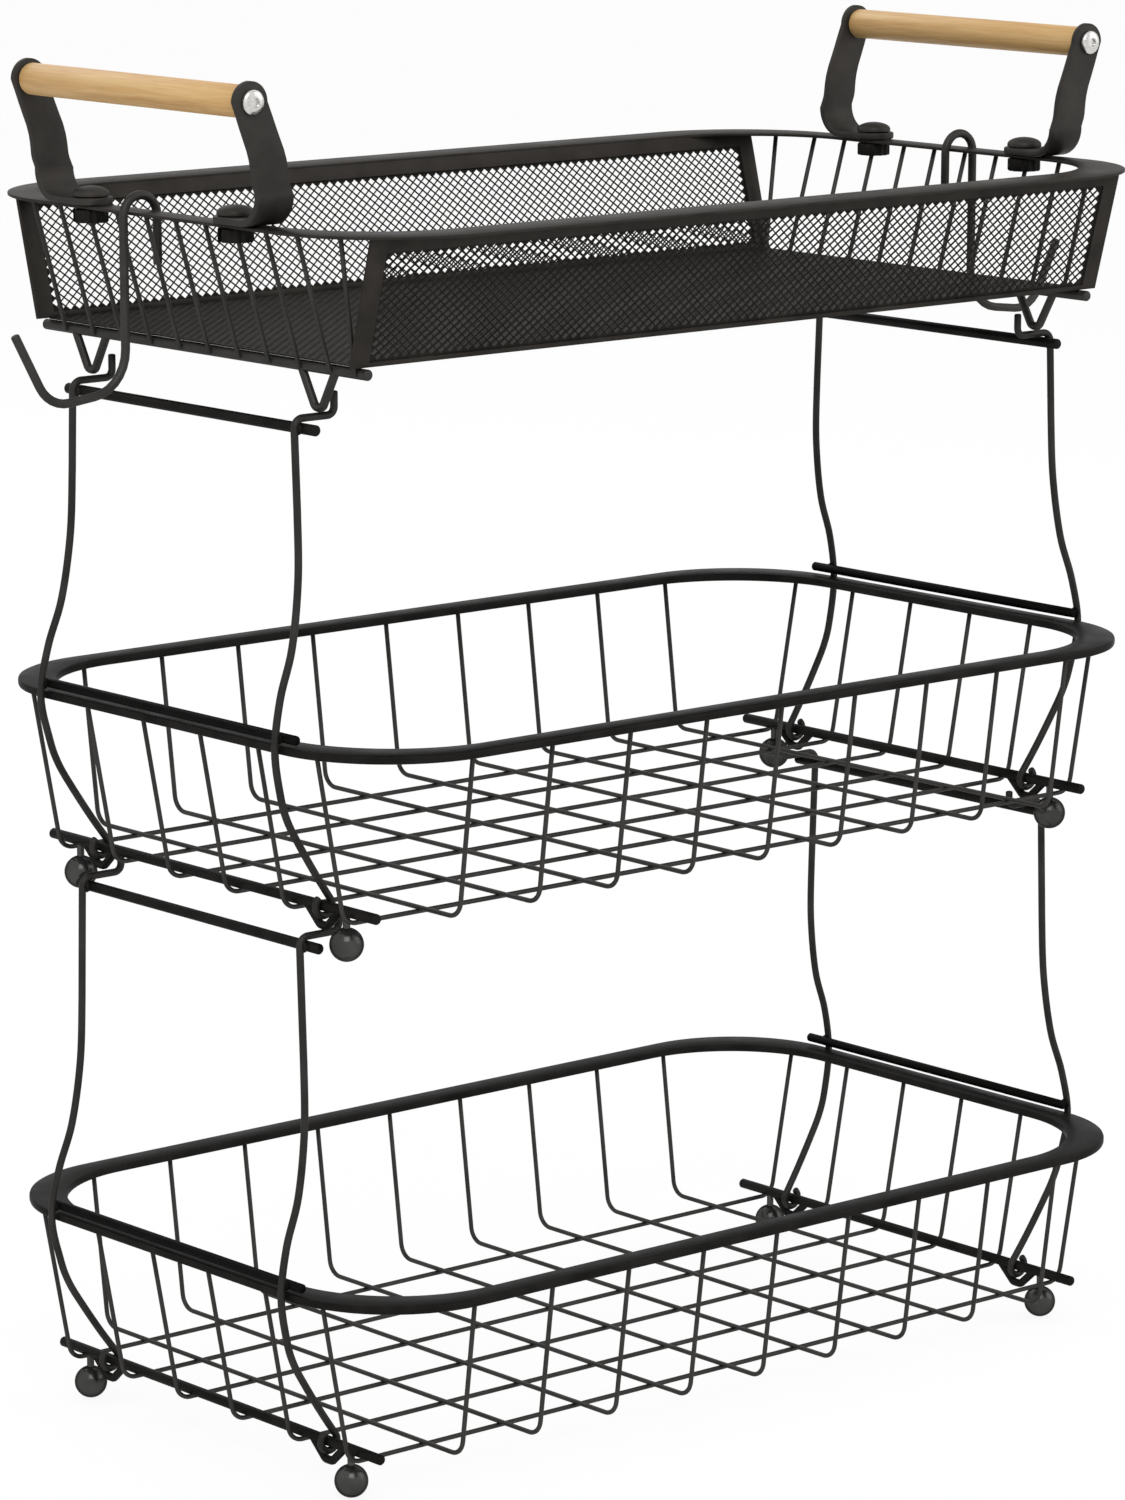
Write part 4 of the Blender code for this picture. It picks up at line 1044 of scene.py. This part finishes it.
def dome_profile(radius, height, edge):
    """A domed head over a straight edge, flat underneath."""
    profile = [(radius, 0)]
    for k in range(DOME_STEPS):
        angle = pi / 2 * k / DOME_STEPS
        profile.append((radius * cos(angle), edge + (height - edge) * sin(angle)))
    return profile


def make_cap(spot, fixing, place):
    """A low domed cap over the strap's foot, a little narrower where it meets the strap."""
    narrow, rise = CAP_FOOT_SHARES
    foot = [(CAP_RADIUS * narrow, 0), (CAP_RADIUS, CAP_HEIGHT * rise)]
    bm = turned(foot + dome_profile(CAP_RADIUS, CAP_HEIGHT, CAP_HEIGHT * CAP_EDGE_SHARE)[1:])
    cap_z = STRAP_FOOT_HEIGHT + STRAP_THICKNESS / 2 + GAP
    bm.transform(place @ Matrix.Translation((*fixing, cap_z)))
    add_piece("strap_cap_" + spot, bm, "black_coat", "strap_coat")


def nut_outline(wire_y, inset):
    """A ribbed circle, slotted from the outside for the end wire that passes it."""
    half_slot = WIRE_RADIUS + GAP
    wire_lean = (STRIP_MID_OUT - RAIL_OUT) / TOP_RIM_UNDERSIDE
    slot_end = STRIP_MID_OUT - STRAP_FOOT_OUT - NUT_HEIGHT * wire_lean - half_slot
    first = asin((wire_y + half_slot) / NUT_RADIUS)
    last = 2 * pi + asin((wire_y - half_slot) / NUT_RADIUS)
    outline = []
    for k in range(NUT_STEPS + 1):
        angle = first + (last - first) * k / NUT_STEPS
        groove = NUT_RIB_DEPTH * (1 - cos(2 * pi * NUT_RIBS * k / NUT_STEPS)) / 2
        radius = NUT_RADIUS - inset - groove
        outline.append((radius * cos(angle), radius * sin(angle)))
    outline.append((slot_end, wire_y - half_slot))
    outline.append((slot_end, wire_y + half_slot))
    return outline


def make_nut(spot, fixing, place):
    """A round ribbed nut under the rim, below the strap's cap."""
    wire_y = min(end_wire_places(), key=lambda y: abs(y - fixing[1])) - fixing[1]
    rings = []
    for inset, drop in EDGE_PROFILE_SHARES[::-1]:
        outline = nut_outline(wire_y, inset * NUT_EDGE)
        rings.append([(x, y, drop * NUT_EDGE - NUT_HEIGHT / 2) for x, y in outline])
    rings = rings[::-1] + [[(x, y, -z) for x, y, z in ring] for ring in rings]
    bm = bmesh.new()
    add_loft(bm, rings)
    nut_z = TOP_RIM_UNDERSIDE - GAP - NUT_HEIGHT / 2
    bm.transform(place @ Matrix.Translation((*fixing, nut_z)))
    add_piece("strap_nut_" + spot, bm, "black_coat")


def make_screw(spot, y_sign, place):
    """A domed screw head with a round socket."""
    head = dome_profile(SCREW_RADIUS, SCREW_HEIGHT, SCREW_HEIGHT * SCREW_EDGE_SHARE)
    rim = [point for point in head if point[0] > SCREW_SOCKET_RADIUS * SCREW_LAND_SHARE]
    high = rim[-1][1]
    floor_radius = SCREW_SOCKET_RADIUS * SCREW_SOCKET_FLOOR_SHARE
    socket = [(SCREW_SOCKET_RADIUS, high), (floor_radius, high - SCREW_SOCKET_DEPTH)]
    bm = turned(rim + socket)
    seat = (GRIP_OUT - RAIL_OUT, y_sign * (STRAP_OUTER_Y + GAP), GRIP_Z)
    turn = Euler((-y_sign * pi / 2, 0, 0))
    bm.transform(place @ Matrix.LocRotScale(Vector(seat), turn, None))
    add_piece("grip_screw_" + spot, bm, "bright_steel")


def make_grip(side, place):
    half = STRAP_INNER_Y - GAP
    profile = []
    for inset, drop in EDGE_PROFILE_SHARES:
        profile.append((GRIP_RADIUS - inset * GRIP_EDGE, drop * GRIP_EDGE - half))
    profile += [(radius, -height) for radius, height in reversed(profile)]
    bm = turned(profile)
    seat = Vector((GRIP_OUT - RAIL_OUT, 0, GRIP_Z))
    bm.transform(place @ Matrix.LocRotScale(seat, Euler((pi / 2, 0, 0)), None))
    add_piece("grip_" + side, bm, "wood")


def make_hook(side, y, inner_leg, place):
    inside = HOOK_CROOK_RADIUS - HOOK_WIRE_RADIUS - GAP
    sink = sqrt(inside ** 2 - (RIM_STRIP_WIDTH / 2) ** 2)
    middle = STRIP_MID_OUT - RAIL_OUT
    crook_z = TOP_RIM_TOP - sink
    path = [Vector((middle - HOOK_CROOK_RADIUS, y, crook_z - inner_leg))]
    crook_steps = ceil(pi / BEND_STEP)
    for k in range(crook_steps + 1):
        angle = pi * (1 - k / crook_steps)
        out = middle + HOOK_CROOK_RADIUS * cos(angle)
        path.append(Vector((out, y, crook_z + HOOK_CROOK_RADIUS * sin(angle))))
    shank = middle + HOOK_CROOK_RADIUS
    corners = [
        path[-1],
        (shank, y, crook_z - HOOK_SHANK_DROP),
        (shank + HOOK_BOTTOM_OUT, y, crook_z - HOOK_BOTTOM_DROP),
        (shank + HOOK_TIP_OUT, y, crook_z - HOOK_TIP_DROP),
    ]
    path += rounded_path(corners, (HOOK_BEND_RADIUS, HOOK_TIP_BEND_RADIUS))[1:]
    bm = tube(path, HOOK_WIRE_RADIUS, TUBE_SIDES, (0, 1, 0))
    bm.transform(place)
    add_piece("hook_" + side, bm, "black_coat", "wire_coat_painted_sheen")


def make_handle(side, sign):
    place = end_place("top", sign)
    make_grip(side, place)
    for face, face_sign in FACES:
        spot = side + "_" + face
        y_sign = sign * face_sign
        fixing = (STRAP_FOOT_OUT - RAIL_OUT, y_sign * CAP_Y)
        make_strap(spot, y_sign, place)
        make_cap(spot, fixing, place)
        make_nut(spot, fixing, place)
        make_screw(spot, y_sign, place)


# The whole object

def make_object_pieces():
    for tier in ("bottom", "middle"):
        make_rim(tier, "black_coat", RIM_THICKNESS, RIM_STRIP_WIDTH, RIM_CORNER_RADIUS)
        make_cage(tier)
        for side, sign in SIDES:
            make_rail(tier, side, sign)
            make_balls(tier, side, sign)
    for side, sign in SIDES:
        make_frame("lower", "bottom", side, sign, LOWER_SEAT_HEIGHT, LIP_RISE,
                   LOWER_ROD_HALF_LENGTH)
        make_frame("upper", "middle", side, sign, UPPER_SEAT_HEIGHT, TOP_LIP_RISE,
                   UPPER_ROD_HALF_LENGTH)
    make_rim("top", "grey_coat", TOP_RIM_THICKNESS, TOP_SIDE_STRIP_WIDTH, TOP_HOLE_CORNER_RADIUS)
    make_mesh_sides()
    make_mesh_floor()
    for (side, sign), share, leg in zip(SIDES, HOOK_PLACE_SHARES, HOOK_INNER_LEGS):
        make_end_grille(side, sign)
        make_handle(side, sign)
        hook_y = TOP_END_SHIFT - share * TOP_END_PITCH
        make_hook(side, hook_y, leg, end_place("top", sign))


make_object_pieces()


# Floor, world, lights and camera

FLOOR_RADIUS = 14
FLOOR_SIDES = 64
FLOOR_DROP = 0.0002
FLOOR_GLOW_SHARE = 0.86
FLOOR_GLOW = 1.05
FLOOR_COLOUR = (0.86, 0.86, 0.86)
AMBIENT = 0.62
# Each light's name, place, size and power
LIGHTS = (
    ("key", (-1.3, -1.6, 2.3), (1.5, 1.5), 22),
    ("fill", (1.9, -1.4, 1.2), (1.6, 1.6), 9),
    ("back", (0.3, 2.2, 1.9), (1.8, 1.2), 12),
)
LIGHT_TARGET = (0, 0, 0.25)
CAMERA_PLACE = (-1.46331, -1.69937, 0.68673)
CAMERA_DIP = 0.2371
CAMERA_HEADING = -0.7085
# Height of the sensor and focal length, both in millimetres
CAMERA_SENSOR = 36
CAMERA_LENS = 141.99
CAMERA_SHIFT = 0.16637


def backdrop_share(tree):
    """1 where a ray from the camera, off gloss or through glass sees the background itself."""
    path = add_node(tree, "ShaderNodeLightPath")
    share = path.outputs["Is Camera Ray"]
    for name in ("Is Glossy Ray", "Is Transmission Ray"):
        larger = add_node(tree, "ShaderNodeMath", operation="MAXIMUM")
        tree.links.new(share, larger.inputs[0])
        tree.links.new(path.outputs[name], larger.inputs[1])
        share = larger.outputs["Value"]
    return share


def set_world():
    world = bpy.data.worlds.new("studio")
    world.use_nodes = True
    tree = world.node_tree
    tree.nodes.clear()
    plain = add_node(tree, "ShaderNodeBackground", {"Strength": AMBIENT})
    white = add_node(tree, "ShaderNodeBackground", {"Strength": 1.0})
    for background in (plain, white):
        background.inputs["Color"].default_value = (1, 1, 1, 1)
    mixed = add_node(tree, "ShaderNodeMixShader")
    tree.links.new(backdrop_share(tree), mixed.inputs[0])
    tree.links.new(plain.outputs[0], mixed.inputs[1])
    tree.links.new(white.outputs[0], mixed.inputs[2])
    output = add_node(tree, "ShaderNodeOutputWorld")
    tree.links.new(mixed.outputs[0], output.inputs["Surface"])
    bpy.context.scene.world = world


def floor_material():
    """Pale paper: mostly white to the camera, so that only the object's shadow shows."""
    material = bpy.data.materials.new("studio_floor")
    material.use_nodes = True
    tree = material.node_tree
    tree.nodes.clear()
    paper = add_node(tree, "ShaderNodeBsdfDiffuse", {"Color": (*FLOOR_COLOUR, 1)})
    glow = add_node(tree, "ShaderNodeEmission", {"Strength": FLOOR_GLOW})
    share = add_node(tree, "ShaderNodeMath", operation="MULTIPLY")
    tree.links.new(backdrop_share(tree), share.inputs[0])
    share.inputs[1].default_value = FLOOR_GLOW_SHARE
    mixed = add_node(tree, "ShaderNodeMixShader")
    tree.links.new(share.outputs[0], mixed.inputs[0])
    tree.links.new(paper.outputs[0], mixed.inputs[1])
    tree.links.new(glow.outputs[0], mixed.inputs[2])
    output = add_node(tree, "ShaderNodeOutputMaterial")
    tree.links.new(mixed.outputs[0], output.inputs["Surface"])
    return material


def make_floor():
    bm = bmesh.new()
    bmesh.ops.create_circle(bm, cap_ends=True, segments=FLOOR_SIDES, radius=FLOOR_RADIUS)
    mesh = bpy.data.meshes.new("studio_floor")
    bm.to_mesh(mesh)
    bm.free()
    mesh.materials.append(floor_material())
    floor = make_object("studio_floor", mesh)
    floor.location.z = -FLOOR_DROP


def make_light(name, place, size, power):
    data = bpy.data.lights.new(name, "AREA")
    data.shape = "RECTANGLE"
    data.size, data.size_y = size
    data.energy = power
    light = make_object(name, data)
    light.location = place
    aim = Vector(LIGHT_TARGET) - Vector(place)
    light.rotation_euler = aim.to_track_quat("-Z", "Y").to_euler()


def make_camera():
    data = bpy.data.cameras.new("camera")
    data.sensor_fit = "VERTICAL"
    data.sensor_height = CAMERA_SENSOR
    data.lens = CAMERA_LENS
    data.shift_y = CAMERA_SHIFT
    data.clip_end = 2 * FLOOR_RADIUS
    camera = make_object("camera", data)
    camera.location = CAMERA_PLACE
    camera.rotation_euler = (pi / 2 - CAMERA_DIP, 0, CAMERA_HEADING)
    bpy.context.scene.camera = camera


set_world()
make_floor()
for light_name, light_place, light_size, light_power in LIGHTS:
    make_light(light_name, light_place, light_size, light_power)
make_camera()
bpy.context.scene.view_settings.view_transform = "Standard"
